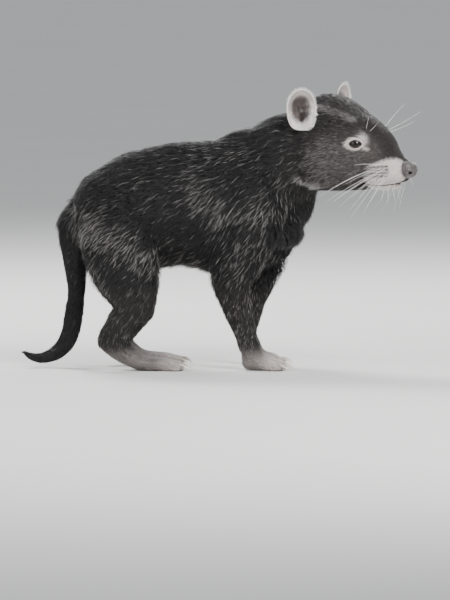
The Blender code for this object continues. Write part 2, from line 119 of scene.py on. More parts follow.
print("ahead", AHEAD.round(3), "left", LEFT.round(3), "eye radius", round(EYE_RADIUS, 2))

# %% [markdown]
# ## Small helpers
#
# A few functions are used all the way through. `ease` is a soft step between two
# values, which is how every region of the body fades into the next, and `bell` is a
# soft bump. `arrays` reads a mesh into plain arrays and `mesh_piece` makes an object
# from arrays, because a function of all the points at once is far quicker in Blender
# than a loop over them. Eyeball, ear, nose, claw, whisker and lid rim are all stacks of
# rings, so one function, `ring_faces`, lays the faces between the rings of each.

# %% Helpers


def ease(value, low, high):
    """0 before low, 1 past high, and a soft slope between; low may exceed high."""
    t = np.clip((np.asarray(value, float) - low) / (high - low), 0, 1)
    return t * t * (3 - 2 * t)


def bell(value, width):
    """1 at zero, falling away over the width."""
    return np.exp(-((value / width) ** 2))


def unit(vectors):
    """Vectors brought to a length of one."""
    return vectors / np.maximum(np.linalg.norm(vectors, axis=-1, keepdims=True), 1e-12)


def flatten_onto(vectors, normals):
    """Vectors with their part along the normals taken out."""
    return vectors - normals * (vectors * normals).sum(-1, keepdims=True)


def off_line(spots, start, end):
    """Distance of each spot from the straight line between two others."""
    way = np.subtract(end, start)
    share = np.clip((spots - np.array(start)) @ way / (way @ way), 0, 1)
    return np.linalg.norm(spots - start - share[..., None] * way, axis=-1)


def arrays(mesh):
    """A mesh's vertices and vertex normals."""
    count = len(mesh.vertices)
    points, normals = np.empty(count * 3), np.empty(count * 3)
    mesh.vertices.foreach_get("co", points)
    mesh.vertex_normals.foreach_get("vector", normals)
    return points.reshape(-1, 3), normals.reshape(-1, 3)


def put(mesh, points):
    """Moves a mesh's vertices to new places."""
    mesh.vertices.foreach_set("co", np.ascontiguousarray(points, np.float32).ravel())
    mesh.update()


def add_object(name, mesh):
    """A smooth-shaded object that rides on the frame's only body."""
    mesh.polygons.foreach_set("use_smooth", [True] * len(mesh.polygons))
    piece = bpy.data.objects.new(name, mesh)
    bpy.context.scene.collection.objects.link(piece)
    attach(piece, "root")
    return piece


def mesh_piece(name, points, faces):
    """An object made from points and faces."""
    mesh = bpy.data.meshes.new(name)
    mesh.from_pydata(np.asarray(points).tolist(), [], [list(map(int, f)) for f in faces])
    mesh.validate()
    return add_object(name, mesh)


def ring_faces(sizes, closed=False, turned=False):
    """Faces between rings of points; a ring of one point is a pole, and closes an end."""
    first = np.concatenate([[0], np.cumsum(sizes)])
    spokes, faces = max(sizes), []
    for ring in range(len(sizes) if closed else len(sizes) - 1):
        a, b = first[ring], first[(ring + 1) % len(sizes)]
        for spoke in range(spokes):
            after = (spoke + 1) % spokes
            if sizes[ring] == 1:
                face = (a, b + spoke, b + after)
            elif sizes[(ring + 1) % len(sizes)] == 1:
                face = (a + spoke, b, a + after)
            else:
                face = (a + spoke, b + spoke, b + after, a + after)
            faces.append((face[0], *face[:0:-1]) if turned else face)
    return faces


def settle(piece):
    """Turns a piece's modifiers into plain mesh."""
    graph = bpy.context.evaluated_depsgraph_get()
    graph.update()
    mesh = bpy.data.meshes.new_from_object(piece.evaluated_get(graph))
    piece.modifiers.clear()
    piece.data = mesh
    return mesh


def mark(mesh, name, values):
    """Stores one number per vertex, for a material to read."""
    held = mesh.attributes.new(name=name, type="FLOAT", domain="POINT")
    held.data.foreach_set("value", np.ascontiguousarray(values, np.float32))


# %% [markdown]
# ## One skin over the flesh
#
# The frame divides the body where a person would name its parts. A real animal has
# one skin. The parts could be united with Booleans, but that leaves hard seams, so the
# nodes of flesh are joined and remeshed on a fine grid instead, which closes the
# hairline cuts and gives even faces to press folds into. A ball a little larger than
# each eyeball goes in with them and becomes the closed lids. More balls fill the fold
# between the chest and the arms, where a devil's skin hangs loose. Smoothing then
# rounds off the facets.

# %% Join the flesh and remesh it
FLESH = [
    "chest", "loin", "neck", "head", "jaw", "tail_base", "tail_middle", "tail_tip",
    "upper_arm_right", "upper_arm_left", "forearm_right", "forearm_left",
    "forefoot_right", "forefoot_left", "thigh_right", "thigh_left",
    "shank_right", "shank_left", "hindfoot_right", "hindfoot_left",
]  # fmt: skip
SKIN_GRAIN = 2.6 * MM
LID_DEEP = 2.6  # the closed lid over the eyeball, before the coat's depth is taken off
NOSE_SPOT = (144.5, 0.0, 284.5)
NOSE_HALF = (11.0, 14.0, 12.2)  # half depth, half width and half height of the pad
PAD_CORE = 0.86  # size of the skin's own swelling inside the nose pad
LOOSE_SKIN = (  # balls of loose skin: middle over the floor, and radius
    ((99.0, 22.0, 192.0), 21.0),
    ((98.0, 7.0, 192.0), 21.0),
    ((96.0, -8.0, 191.0), 21.0),
    ((89.0, -23.0, 186.0), 18.0),
    ((88.0, 30.0, 172.0), 17.0),
    ((88.0, 10.0, 172.0), 18.0),
)

joined = bmesh.new()
for node in FLESH:
    joined.from_mesh(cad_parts[node].data)
for side, sign in SIDES:
    bmesh.ops.create_uvsphere(
        joined, u_segments=40, v_segments=24, radius=(EYE_RADIUS + LID_DEEP) * MM,
        matrix=Matrix.Translation(Vector(eye_spot[side])),
    )  # fmt: skip
for spot, radius in LOOSE_SKIN:
    bmesh.ops.create_icosphere(
        joined, subdivisions=3, radius=radius * MM, matrix=Matrix.Translation(Vector(spot) * MM)
    )
head_turn = Matrix((AHEAD, LEFT, UP)).transposed().to_4x4()
pad_core = Matrix.Translation(Vector(in_head(*NOSE_SPOT))) @ head_turn
pad_core @= Matrix.Diagonal([half * PAD_CORE * MM for half in NOSE_HALF] + [1])
bmesh.ops.create_icosphere(joined, subdivisions=3, radius=1, matrix=pad_core)
flesh_mesh = bpy.data.meshes.new("skin")
joined.to_mesh(flesh_mesh)
joined.free()
flesh_mesh.materials.clear()
skin = bpy.data.objects.new("skin", flesh_mesh)
bpy.context.scene.collection.objects.link(skin)
grid = skin.modifiers.new("grid", "REMESH")
grid.mode = "VOXEL"
grid.voxel_size = SKIN_GRAIN
settle(skin)
rounding = skin.modifiers.new("rounding", "SMOOTH")
rounding.factor = 0.5
rounding.iterations = 5
settle(skin)
print("skin faces", len(skin.data.polygons))

# %% [markdown]
# ## How deep the coat is
#
# The skin has to lie inside the solids by the depth of the coat, so that the tips of
# the fur reach the true outline. The coat is deepest on the neck and rump, thin on
# the legs, and only a nap on the muzzle and the feet. One function answers that for
# any point, and it is used again when the fur grows.

# %% Depth of the coat


def regions(points):
    """Soft masks of the head, face, muzzle, lower legs, feet and tail at each point."""
    ahead, left, height = head_coords(points)
    x, y, z = points.T / MM
    on_head = ease(ahead, -34, 4) * ease(height, 222, 250)
    tail = ease(x, -178, -194) * ease(z, 215, 165)
    standing = 1 - tail
    return {
        "head": on_head,
        "face": on_head * ease(ahead, 20, 75),
        "muzzle": on_head * ease(ahead, 86, 112),
        "legs": standing * ease(z, 150, 95),
        "feet": standing * ease(z, 46, 24),
        "tail": tail,
    }


def by_region(points, body, **parts):
    """A number for each point: the body's own, eased to another in each named region."""
    mask = regions(points)
    value = np.full(len(points), float(body))
    for name, part in parts.items():
        value += (part - value) * mask[name]
    return value


def coat_depth(points):
    """Depth of the lying coat in millimetres."""
    return by_region(points, 6.5, head=3.6, face=2.0, muzzle=0.9, legs=3.0, feet=1.0, tail=2.8)


points, normals = arrays(skin.data)
sole = ease(points[:, 2], 5 * MM, 1 * MM) * ease(normals[:, 2], -0.3, -0.8)
depth = coat_depth(points) * (1 - sole)
points -= normals * depth[:, None] * MM
points[:, 2] = np.maximum(points[:, 2], 0)  # the soles stay on the floor
put(skin.data, points)
print("coat depth", round(depth.min(), 1), "to", round(depth.max(), 1), "mm")

# %% [markdown]
# ## A finer skin on the head and toes
#
# Lips, lids and the clefts between toes are smaller than the grid. A finer grid all
# over would make the body heavy for nothing. Splitting every face of the head and the
# toes once, and those of the muzzle and round the eyes once more, gives room for them.

# %% Split the head and toes finer
TOE_REACH, TOE_TALL = 26 * MM, 20 * MM  # from the claws, and over the floor


def split_where(mesh, wanted):
    """Splits every edge whose two ends are both wanted."""
    shape = bmesh.new()
    shape.from_mesh(mesh)
    keep = wanted(np.array([v.co for v in shape.verts]))
    shape.verts.index_update()
    edges = [e for e in shape.edges if keep[e.verts[0].index] and keep[e.verts[1].index]]
    bmesh.ops.subdivide_edges(shape, edges=edges, cuts=1, use_grid_fill=True, smooth=0.6)
    shape.to_mesh(mesh)
    shape.free()
    mesh.update()


def claw_gap(points):
    """Distance of each point from the middle of every claw of the frame."""
    spots = [middle_of(name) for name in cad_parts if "claw" in name]
    return np.array([np.linalg.norm(points - spot, axis=1) for spot in spots])


def from_eye(points, side):
    """Millimetres from an eyeball's middle."""
    return np.linalg.norm(points - eye_spot[side], axis=1) / MM


def is_head_or_toe(points):
    """Where the skin is split once."""
    ahead, left, height = head_coords(points)
    toes = (points[:, 2] < TOE_TALL) & (np.min(claw_gap(points), 0) < TOE_REACH)
    return (ahead > 5) & (height > 240) | toes


def is_fine(points):
    """Where it is split once more: the muzzle, and round the eyes."""
    ahead, left, height = head_coords(points)
    near = np.minimum(from_eye(points, "right"), from_eye(points, "left"))
    return (near < 17) | ((ahead > 104) & (height > 240))


split_where(skin.data, is_head_or_toe)
split_where(skin.data, is_fine)
print("skin faces after splitting", len(skin.data.polygons))

# %% [markdown]
# ## The form of the face
#
# Under the coat the face has its own landscape: full whisker pads, a strong jaw
# muscle, a ridge over the eye, and a crest that runs from the ear to the brow. It
# could be sculpted by hand. Here each form is one soft swelling or hollow, given by its
# place, its reach and its height, so each can be changed by itself and comes out alike
# on both sides.

# %% Swellings and hollows
SWELLS = (  # ahead, out, height; reach ahead, out and up; amount in millimetres
    ("whisker pad", (114, 20, 279), (13, 9, 8), 1.7),
    ("hollow before the eye", (95, 33, 297), (9, 9, 8), -1.5),
    ("cheekbone", (66, 47, 302), (20, 10, 5), 1.3),
    ("brow", (80, 33, 335), (13, 9, 5), 1.6),
    ("temple", (44, 50, 328), (14, 10, 11), -1.6),
    ("jaw muscle", (28, 52, 286), (20, 12, 17), 2.2),
    ("jaw hollow", (66, 38, 270), (14, 12, 8), -1.4),
    ("nose side", (131, 15, 290), (6, 6, 7), -0.9),
    ("chin", (122, 0, 258), (9, 12, 5), 1.0),
)
CRESTS = (  # from, to (ahead, out, height); width; amount
    ("ear to brow", (14, 38, 372), (72, 25, 350), 4.0, 1.5),
    ("behind the jaw", (-16, 58, 296), (0, 52, 270), 5.0, -2.2),
    ("brow furrow", (58, 0, 372), (112, 0, 318), 3.0, -0.9),
)


def face_relief(points):
    """Height of the face's landscape at each point, in millimetres."""
    spots = both_sides(points)
    relief = np.zeros(len(points))
    for label, spot, reach, amount in SWELLS:
        relief += amount * np.exp(-(((spots - spot) / reach) ** 2).sum(1))
    for label, start, end, width, amount in CRESTS:
        relief += amount * bell(off_line(spots, start, end), width)
    return relief


points, normals = arrays(skin.data)
relief = face_relief(points)
put(skin.data, points + normals * relief[:, None] * MM)
print("face relief", round(relief.min(), 1), "to", round(relief.max(), 1), "mm")

# %% [markdown]
# ## Toes
#
# Each claw of the frame shows where a toe ends and which way it points. A point of a
# foot belongs to the toe whose line passes nearest. The skin swells a little along the
# toes and sinks where two toes are equally near, which is the cleft between them. The
# same two masks later paint a highlight along the toes and shade in the clefts.

# %% Swell the toes and sink the clefts
CLAW_NODES = {
    foot: [name for name in sorted(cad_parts) if name.startswith(foot + "_")]
    for foot in ("foreclaw_right", "foreclaw_left", "hindclaw_right", "hindclaw_left")
}


def claw_line(node):
    """Root and forward direction of a claw, from its node's own mesh."""
    points, normals = arrays(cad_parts[node].data)
    middle = points.mean(0)
    spread = points[:, :2] - middle[:2]
    way = np.linalg.svd(spread, full_matrices=False)[2][0]
    way = np.array((*(way * np.sign(way[0])), 0.0))
    reach = (points - middle) @ way
    return points[reach < reach.min() + 2.0 * MM].mean(0), way


CLAW_LINES = {node: claw_line(node) for nodes in CLAW_NODES.values() for node in nodes}
TOE_LONG = 24.0  # clefts run this far back from the claws
TOE_LOW = 34 * MM  # and are found below this height
TOE_WIDE, CLEFT_WIDE = 2.6, 1.9
TOE_SWELLS, CLEFT_SINKS = 0.9, 2.4  # millimetres


def toe_marks(points):
    """How near each point is to a toe's line, and to the cleft between two toes."""
    toe, cleft = np.zeros(len(points)), np.zeros(len(points))
    low = points[:, 2] < TOE_LOW
    for nodes in CLAW_NODES.values():
        gaps, behind = [], []
        for node in nodes:
            root, way = CLAW_LINES[node]
            away = (points[low] - root) / MM
            side_way = np.cross(UP, way)
            gaps.append(np.abs(away @ side_way))
            behind.append(-(away @ way))
        gaps, behind = np.array(gaps), np.array(behind)
        order = np.argsort(gaps, 0)
        first = np.take_along_axis(gaps, order[:1], 0)[0]
        second = np.take_along_axis(gaps, order[1:2], 0)[0]
        back = np.take_along_axis(behind, order[:1], 0)[0]
        along = ease(back, -7, -3) * ease(back, TOE_LONG, TOE_LONG * 0.6) * (first < 9)
        toe[low] = np.maximum(toe[low], bell(first, TOE_WIDE) * along)
        between = bell(second - first, CLEFT_WIDE) * along * (first < 7)
        cleft[low] = np.maximum(cleft[low], between)
    return toe, cleft


points, normals = arrays(skin.data)
toe, cleft = toe_marks(points)
above = ease(normals[:, 2], -0.6, 0.0)
shift = (toe * TOE_SWELLS - cleft * CLEFT_SINKS) * above
put(skin.data, points + normals * shift[:, None] * MM)
print("clefts between toes at", int((cleft > 0.5).sum()), "points")

# %% [markdown]
# ## The mouth
#
# The mouth is closed. It runs from under the nose back along the cheek as a groove
# between two lips that swell a little on either side of it. Cutting it open would need
# gums and teeth that nobody sees, so the groove is pressed into the skin instead, by
# the distance of each point from the mouth's line.

# %% Press the mouth line into the skin
MOUTH_HEIGHT = 264.5
MOUTH_FRONT = 134.0
MOUTH_END = 74.0  # the corner of the mouth, below the front of the eye


def mouth_height(ahead):
    """Height of the mouth line: level in front, dipping, and rising at the corner."""
    back = np.clip((MOUTH_FRONT - ahead) / (MOUTH_FRONT - MOUTH_END), 0, 1)
    return MOUTH_HEIGHT + 1.5 - 4.0 * np.sin(back * math.pi) + 2.0 * back**3


def off_mouth(points):
    """Height over the mouth line, and a mask of where the mouth is."""
    ahead, left, height = head_coords(points)
    there = ease(ahead, MOUTH_END - 5, MOUTH_END + 8) * ease(height, 244, 252)
    return height - mouth_height(ahead), there


points, normals = arrays(skin.data)
ahead, left, height = head_coords(points)
off, there = off_mouth(points)
groove = bell(off, 1.1) * 2.2
lips = (bell(off - 3.6, 3.0) + bell(off + 3.2, 2.4)) * 0.9
# The upper lip is split under the nose.
split_lip = bell(left, 1.2) * ease(ahead, 126, 134) * 1.5
split_lip *= ease(off, 0, 2.5) * ease(height, 280, 272)
put(skin.data, points + normals * (((lips - groove) * there - split_lip) * MM)[:, None])
print("mouth from", MOUTH_END, "to", MOUTH_FRONT, "mm ahead of the ears")

# %% [markdown]
# ## Lids
#
# A lid lies on the eyeball like a close cloth, and the opening between the two lids is
# an almond. `lid_gap` measures how far a point lies outside that almond, seen along
# the way the eye looks. Inside the opening the skin is pushed behind the eyeball, and
# round it the skin follows the ball, with a full upper lid and a crease above it.
# Because the lids are the same skin as the face, no seam can show between them.

# %% Axes of each eye
GAZE = math.radians(27)  # the eyes look outward and this far forward
ALMOND = (9.2, 5.3, 5.0)  # half width, upper reach and lower reach of the opening


def eye_axes(side, sign):
    """The eye's middle, the way it looks, its own forward and its own up."""
    gaze = unit(LEFT * sign * math.cos(GAZE) + AHEAD * math.sin(GAZE) + UP * 0.06)
    front = unit(flatten_onto(AHEAD, gaze))
    return eye_spot[side], gaze, front, unit(flatten_onto(UP, gaze))


EYES = {side: eye_axes(side, sign) for side, sign in SIDES}


def arc_gap(across, over, half, reach):
    """Distance outside an arc that is this wide and this high."""
    bend = (half**2 + reach**2) / (2 * reach)
    return np.hypot(across, over + bend - reach) - bend


def lid_gap(points, side):
    """Millimetres outside the almond, across it, over it, and out along the gaze."""
    middle, gaze, front, up = EYES[side]
    away = (points - middle) / MM
    across, over, out = away @ front, away @ up, away @ gaze
    half, upper, lower = ALMOND
    gap = np.maximum(arc_gap(across, over, half, upper), arc_gap(across, -over, half, lower))
    return gap, across, over, out


# %% Shape the lids
LID_THICK = 1.2
LID_REACH = 9  # skin further than this outside the ball isn't part of the lids
LID_EDGE, LID_ROUND, LID_CREASE = 1.3, 1.6, 3.4  # outside the opening, in millimetres
points, normals = arrays(skin.data)
for side, sign in SIDES:
    middle = eye_spot[side]
    gap, across, over, out = lid_gap(points, side)
    away = points - middle
    reach = np.linalg.norm(away, axis=1) / MM
    near = (out > 0) & (reach < EYE_RADIUS + LID_REACH)
    upper = ease(over, -1, 2)
    lid = EYE_RADIUS + LID_THICK + 0.55 * bell(gap - LID_EDGE, 1.2)
    lid += upper * (0.5 * bell(gap - LID_ROUND, 1.2) - 0.9 * bell(gap - LID_CREASE, 0.7))
    lid -= (1 - upper) * 0.5 * bell(gap - 3.0, 0.9)
    # Further out the lid runs into the face, and may not sink into it.
    lid = np.where(gap > 2.6, np.minimum(np.maximum(reach, lid), reach + 1.2), lid)
    crease = upper * bell(gap - LID_CREASE, 0.8) * 0.7
    lid = np.where(gap > 2.6, lid - crease, lid)
    open_mask = ease(gap, 0.45, -0.3)
    target = lid * (1 - open_mask) + (EYE_RADIUS - 2.2) * open_mask
    blend = ease(gap, 6.5, 3.5) * near
    new_reach = reach + (target - reach) * blend
    points = middle + away * (new_reach / reach)[:, None]
put(skin.data, points)
skin.data.polygons.foreach_set("use_smooth", [True] * len(skin.data.polygons))
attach(skin, "root")
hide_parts(*FLESH)
print("lids shaped; opening", 2 * ALMOND[0], "by", ALMOND[1] + ALMOND[2], "mm")

# %% [markdown]
# ## The lie of the coat
#
# Hair on a real animal lies in a pattern: from the nose back over the head, along the
# back to the tail, down the flanks and down each leg to the toes. Each flesh node of
# the frame gives one direction. Every point of the skin takes a blend of the
# directions of the nodes near it, pressed flat onto the skin. Combing particle hair by
# hand would do the same, but particle hair isn't mesh, and a table can be read.

# %% Directions of the hair
HEADWARD = tuple(-AHEAD * 0.97 - UP * 0.16)
LIE = {  # way the hair points, and how far from the node's middle that holds, in mm
    "chest": ((-0.72, 0, -0.66), 55),
    "loin": ((-0.86, 0, -0.5), 75),
    "neck": ((-0.7, 0.22, -0.66), 55),
    "head": (HEADWARD, 60),
    "jaw": (HEADWARD, 30),
    "tail_base": ((-0.1, 0, -1), 34),
    "tail_middle": ((-0.15, 0, -1), 30),
    "tail_tip": ((-0.95, 0, 0.1), 22),
    "upper_arm_right": ((-0.46, 0, -0.88), 48),
    "upper_arm_left": ((-0.46, 0, -0.88), 48),
    "forearm_right": ((-0.12, 0, -1), 34),
    "forearm_left": ((-0.2, 0, -1), 34),
    "forefoot_right": ((0.93, 0, -0.35), 16),
    "forefoot_left": ((0.93, 0, -0.35), 16),
    "thigh_right": ((-0.5, 0, -0.86), 50),
    "thigh_left": ((-0.5, 0, -0.86), 50),
    "shank_right": ((-0.5, 0, -0.86), 28),
    "shank_left": ((-0.5, 0, -0.86), 28),
    "hindfoot_right": ((0.9, 0, -0.42), 26),
    "hindfoot_left": ((0.9, 0, -0.42), 26),
}
CHEST_LIE = (0.35, 0.0, -1.0)


def lie_of_coat(points, normals):
    """The direction the hair lies in at each point, flat on the skin."""
    flow = np.zeros_like(points)
    for node, (way, reach) in LIE.items():
        low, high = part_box(node)
        inside = np.clip(points, np.array(low), np.array(high))
        gap = np.linalg.norm(points - inside, axis=1)
        from_middle = np.linalg.norm(points - middle_of(node), axis=1)
        weight = bell(gap, reach * 0.35 * MM) * (0.15 + bell(from_middle, reach * MM))
        flow += weight[:, None] * unit(np.array(way, float))
    # On the front of the chest the hair hangs down and forwards, over the loose skin.
    x, y, z = points.T / MM
    chest = ease(x, 64, 84) * ease(np.abs(y), 62, 44) * ease(z, 262, 240) * ease(z, 120, 140)
    flow = unit(flow) * (1 - chest)[:, None] + np.array(CHEST_LIE) * chest[:, None]
    # On the back the hair runs level, so it isn't driven into the body.
    flow[:, 2] *= 1 - 0.75 * np.clip(normals[:, 2], 0, 1)
    # Round each eye the hair leaves the lids on all sides.
    for side, sign in SIDES:
        gap, across, over, out = lid_gap(points, side)
        middle, gaze, front, up = EYES[side]
        away = unit(across[:, None] * front + over[:, None] * up)
        near = (ease(gap, 9, 1) * (out > 0))[:, None]
        flow = unit(flow) * (1 - near * 0.6) + away * near * 0.9
    return unit(flatten_onto(flow, normals))


skin_points = arrays(skin.data)[0]
print("hair directions from", len(LIE), "parts of the body")

# %% [markdown]
# ## Markings and painted highlight
#
# The coat is black with a breath of brown. The muzzle, a ring round each eye and the
# feet are pale, and the face is greyer than the body. A few pale-tipped guard hairs
# are sprinkled everywhere. Far more pale tips are a painted highlight of the black
# coat's sheen: in a wide ring round the dark middle of the flank, on the shoulder,
# along the belly, down the backs of the thighs and the legs, on the cheeks, and along
# the crest and the edge of the cheek, where pale lines are also a painted highlight.
# The skin and every tuft ask the same function, so a marking passes through both.

# %% Lines and dots of the face
RUFF = (  # the edge of the cheek, from behind the jaw to under it: ahead, out, height
    (-20, 56, 299), (1, 52, 274), (39, 40, 254), (56, 35, 253), (74, 30, 258),
)  # fmt: skip
WHISKER_ROWS = (  # height of each row, first and last dot ahead, number of dots
    (275.5, 97, 121, 6),
    (279.5, 94, 123, 7),
    (284.0, 97, 124, 6),
    (288.5, 102, 123, 5),
)
ROWS_CLIMB = 0.06  # millimetres up for each one ahead
DOT_RADIUS = 1.5


def off_ruff(points):
    """Distance from the edge of the cheek, in millimetres."""
    spots = both_sides(points)
    return np.min([off_line(spots, start, end) for start, end in zip(RUFF, RUFF[1:])], 0)


def off_crest(points):
    """Distance from the crest between ear and brow, in millimetres."""
    label, start, end, width, amount = CRESTS[0]
    return off_line(both_sides(points), start, end)


def whisker_dots(points):
    """Dark dots in rows on the pale muzzle, where the whiskers stand."""
    ahead, left, height = head_coords(points)
    dots = np.zeros(len(points))
    for row, first, last, number in WHISKER_ROWS:
        for spot in np.linspace(first, last, number):
            level = row + (spot - 108) * ROWS_CLIMB
            gap = np.hypot((ahead - spot - 0.6) / 1.4, height - level)
            dots = np.maximum(dots, bell(gap, DOT_RADIUS))
    return dots


# %% Where the coat is pale
EYE_PATCH = (11.5, 5.5)  # the pale spot in front of and above each eye
TEAR_LINE = ((8, -1), (19, -7))  # the pale streak below it, in the plane of the lids


def eye_pale(points, side):
    """The ring round an eye, the patch in front of it and the streak below that."""
    gap, across, over, out = lid_gap(points, side)
    ring = ease(gap, 4.6 - 0.12 * across, 3.0 - 0.12 * across)
    patch = bell(np.hypot(across - EYE_PATCH[0], (over - EYE_PATCH[1]) * 0.9), 5.8) * 2.4
    tear = bell(off_line(np.stack([across, over], 1), *TEAR_LINE), 2.2)
    return np.clip(np.maximum(np.maximum(ring, patch), tear), 0, 1) * ease(out, -2, 3)


def muzzle_pale(ahead, out, height):
    """The pale muzzle: its upper edge climbs towards the nose, its rear edge slants."""
    ragged = 1.6 * np.sin(ahead * 1.3) + 1.2 * np.sin(ahead * 2.9 + height)
    upper_edge = 290 + 9 * ease(ahead, 94, 126) + ragged * 0.6
    rear_edge = 97 - 8 * ease(height, 290, 266) + ragged
    muzzle = ease(height, upper_edge + 3, upper_edge - 3)
    muzzle *= ease(ahead, rear_edge - 3, rear_edge + 6)
    return muzzle * ease(height, 254, 257) * ease(out, 4, 11 - 4 * ease(height, 290, 280))


def feet_pale(points, mask):
    """The feet, paler towards the claws, with a painted highlight along the toes and painted shade
    in the clefts.
    """
    toe, cleft = toe_marks(points)
    near_claws = ease(claw_gap(points).min(0) / MM, 44, 20)
    # Painted highlight along the tops of the toes, and painted shade in the clefts.
    feet = ease(points[:, 2] / MM, 46, 10) * mask["feet"] * (0.28 + 0.36 * near_claws + 0.2 * toe)
    return feet * (1 - 0.9 * cleft)


def pale_mask(points):
    """How far the fur is pale: muzzle, eye rings and feet, with painted highlight along the cheek's
    edge and the crest.
    """
    ahead, left, height = head_coords(points)
    mask = regions(points)
    off, there = off_mouth(points)
    lower_lip = ease(off, 1, -1) * ease(ahead, 96, 108) * ease(height, 251, 255)
    muzzle = muzzle_pale(ahead, np.abs(left), height)
    pale = np.maximum(muzzle, lower_lip * 0.9) * mask["head"]
    for side, sign in SIDES:
        pale = np.maximum(pale, eye_pale(points, side))
    # Painted highlight: pale lines along the edge of the cheek and along the crest from ear to
    # brow.
    edge = np.maximum(0.6 * bell(off_ruff(points), 4.2), 0.3 * bell(off_crest(points), 3.4))
    pale = np.maximum(pale, edge)
    pale *= 1 - 0.95 * np.minimum(1.3 * whisker_dots(points), 1)
    # Under the nose pad the skin is kept dark, a painted shade for the inside of each nostril.
    on_pad = (np.stack([ahead, left, height], 1) - NOSE_SPOT) / NOSE_HALF
    pale *= ease(np.linalg.norm(on_pad, axis=1), 0.96, 1.08)
    return np.clip(np.maximum(pale, feet_pale(points, mask)), 0, 1)


def brown_mask(points):
    """How far the black turns to grey-brown: the face and the lower legs."""
    ahead, left, height = head_coords(points)
    mask = regions(points)
    cheeks = ease(ahead, 8, 44) * ease(height, 350, 318) * ease(np.abs(left), 18, 34)
    cheeks *= mask["head"]
    legs = mask["legs"] * 0.25 + mask["feet"] * 0.4
    return np.clip(0.85 * cheeks + 0.25 * mask["face"] + 0.15 * mask["head"] + legs, 0, 1)


GLEAMS = (  # painted highlight as pale tips: along the body, over the floor, reach, how many
    ((-184, 226), 18, 0.45), ((-170, 206), 26, 0.75), ((-148, 192), 24, 0.70),
    ((-126, 176), 24, 0.66), ((-104, 164), 22, 0.60), ((-78, 150), 22, 0.52),
    ((-30, 146), 24, 0.48), ((-170, 150), 12, 0.75), ((-158, 126), 12, 0.75),
    ((-26, 264), 22, 0.55), ((-12, 246), 22, 0.72), ((6, 228), 24, 0.76),
    ((32, 226), 22, 0.50), ((56, 224), 22, 0.66), ((30, 150), 28, 0.42),
    ((44, 178), 32, 0.34), ((30, 290), 36, 0.30), ((-10, 300), 32, 0.26),
    ((92, 262), 22, 0.38), ((84, 236), 20, 0.42), ((-112, 110), 20, 0.30),
)  # fmt: skip


def silver_highlight_mask(points):
    """How many of the guard hairs get pale tips, mostly as painted highlight; over 0.75, other
    hairs do as well.
    """
    x, y, z = points.T / MM
    ahead, left, height = head_coords(points)
    mask = regions(points)
    silver = np.full(len(points), 0.06)
    for spot, reach, amount in GLEAMS:
        silver = np.maximum(silver, amount * bell(np.hypot(x - spot[0], z - spot[1]), reach))
    silver = np.maximum(silver, 0.22 * mask["legs"]) * (1 - mask["head"])
    cheek = ease(ahead, 0, 34) * ease(height, 336, 312) * ease(np.abs(left), 22, 34)
    crest = bell(off_crest(points), 5.0)
    on_head = mask["head"] * (0.08 + 0.68 * cheek + 1.1 * crest)
    ruff = 1.2 * bell(off_ruff(points), 4.5)
    return np.clip(np.maximum(silver + on_head, ruff) - 0.05 * mask["tail"], 0, 1.2)


def markings_and_highlight(points):
    """The three masks of the coat."""
    return pale_mask(points), brown_mask(points), silver_highlight_mask(points)


pale, brown, silver = markings_and_highlight(skin_points)
print("pale on", round(100 * float((pale > 0.5).mean())), "% of the skin's points")

# %% [markdown]
# ## Ground for the fur
#
# Fur grows on the skin and on the ears, so everything it needs to know about a surface
# is kept in one `Ground`. The surface is unwrapped once, because each tuft carries a
# small patch at its root's place on that map.
# Roots are spread over the triangles by area. A tree of the points finds the nearest
# one quickly, which is how a hair feels its way over the body. A ray against the mesh
# would be more exact, but there are far too many steps for it. On a thin ear only one
# side's points are kept in the tree, so no hair slips through the wall.

# %% Ground
UV_NAME = "OFBake"


def unwrap(piece):
    """Unwraps a piece on its own shape."""
    bpy.ops.object.select_all(action="DESELECT")
    piece.select_set(True)
    bpy.context.view_layer.objects.active = piece
    piece.data.uv_layers.new(name=UV_NAME)
    bpy.ops.object.mode_set(mode="EDIT")
    bpy.ops.mesh.select_all(action="SELECT")
    bpy.ops.uv.smart_project(angle_limit=math.radians(66), island_margin=0.004)
    bpy.ops.object.mode_set(mode="OBJECT")


def grown_tree(points):
    """A tree of points, which finds the nearest one quickly."""
    tree = kdtree.KDTree(len(points))
    for i, point in enumerate(points):
        tree.insert(point, i)
    tree.balance()
    return tree


def nearest(points, tree):
    """The number of the nearest point in a tree, for each place."""
    return np.fromiter((tree.find(p)[1] for p in points), int, len(points))


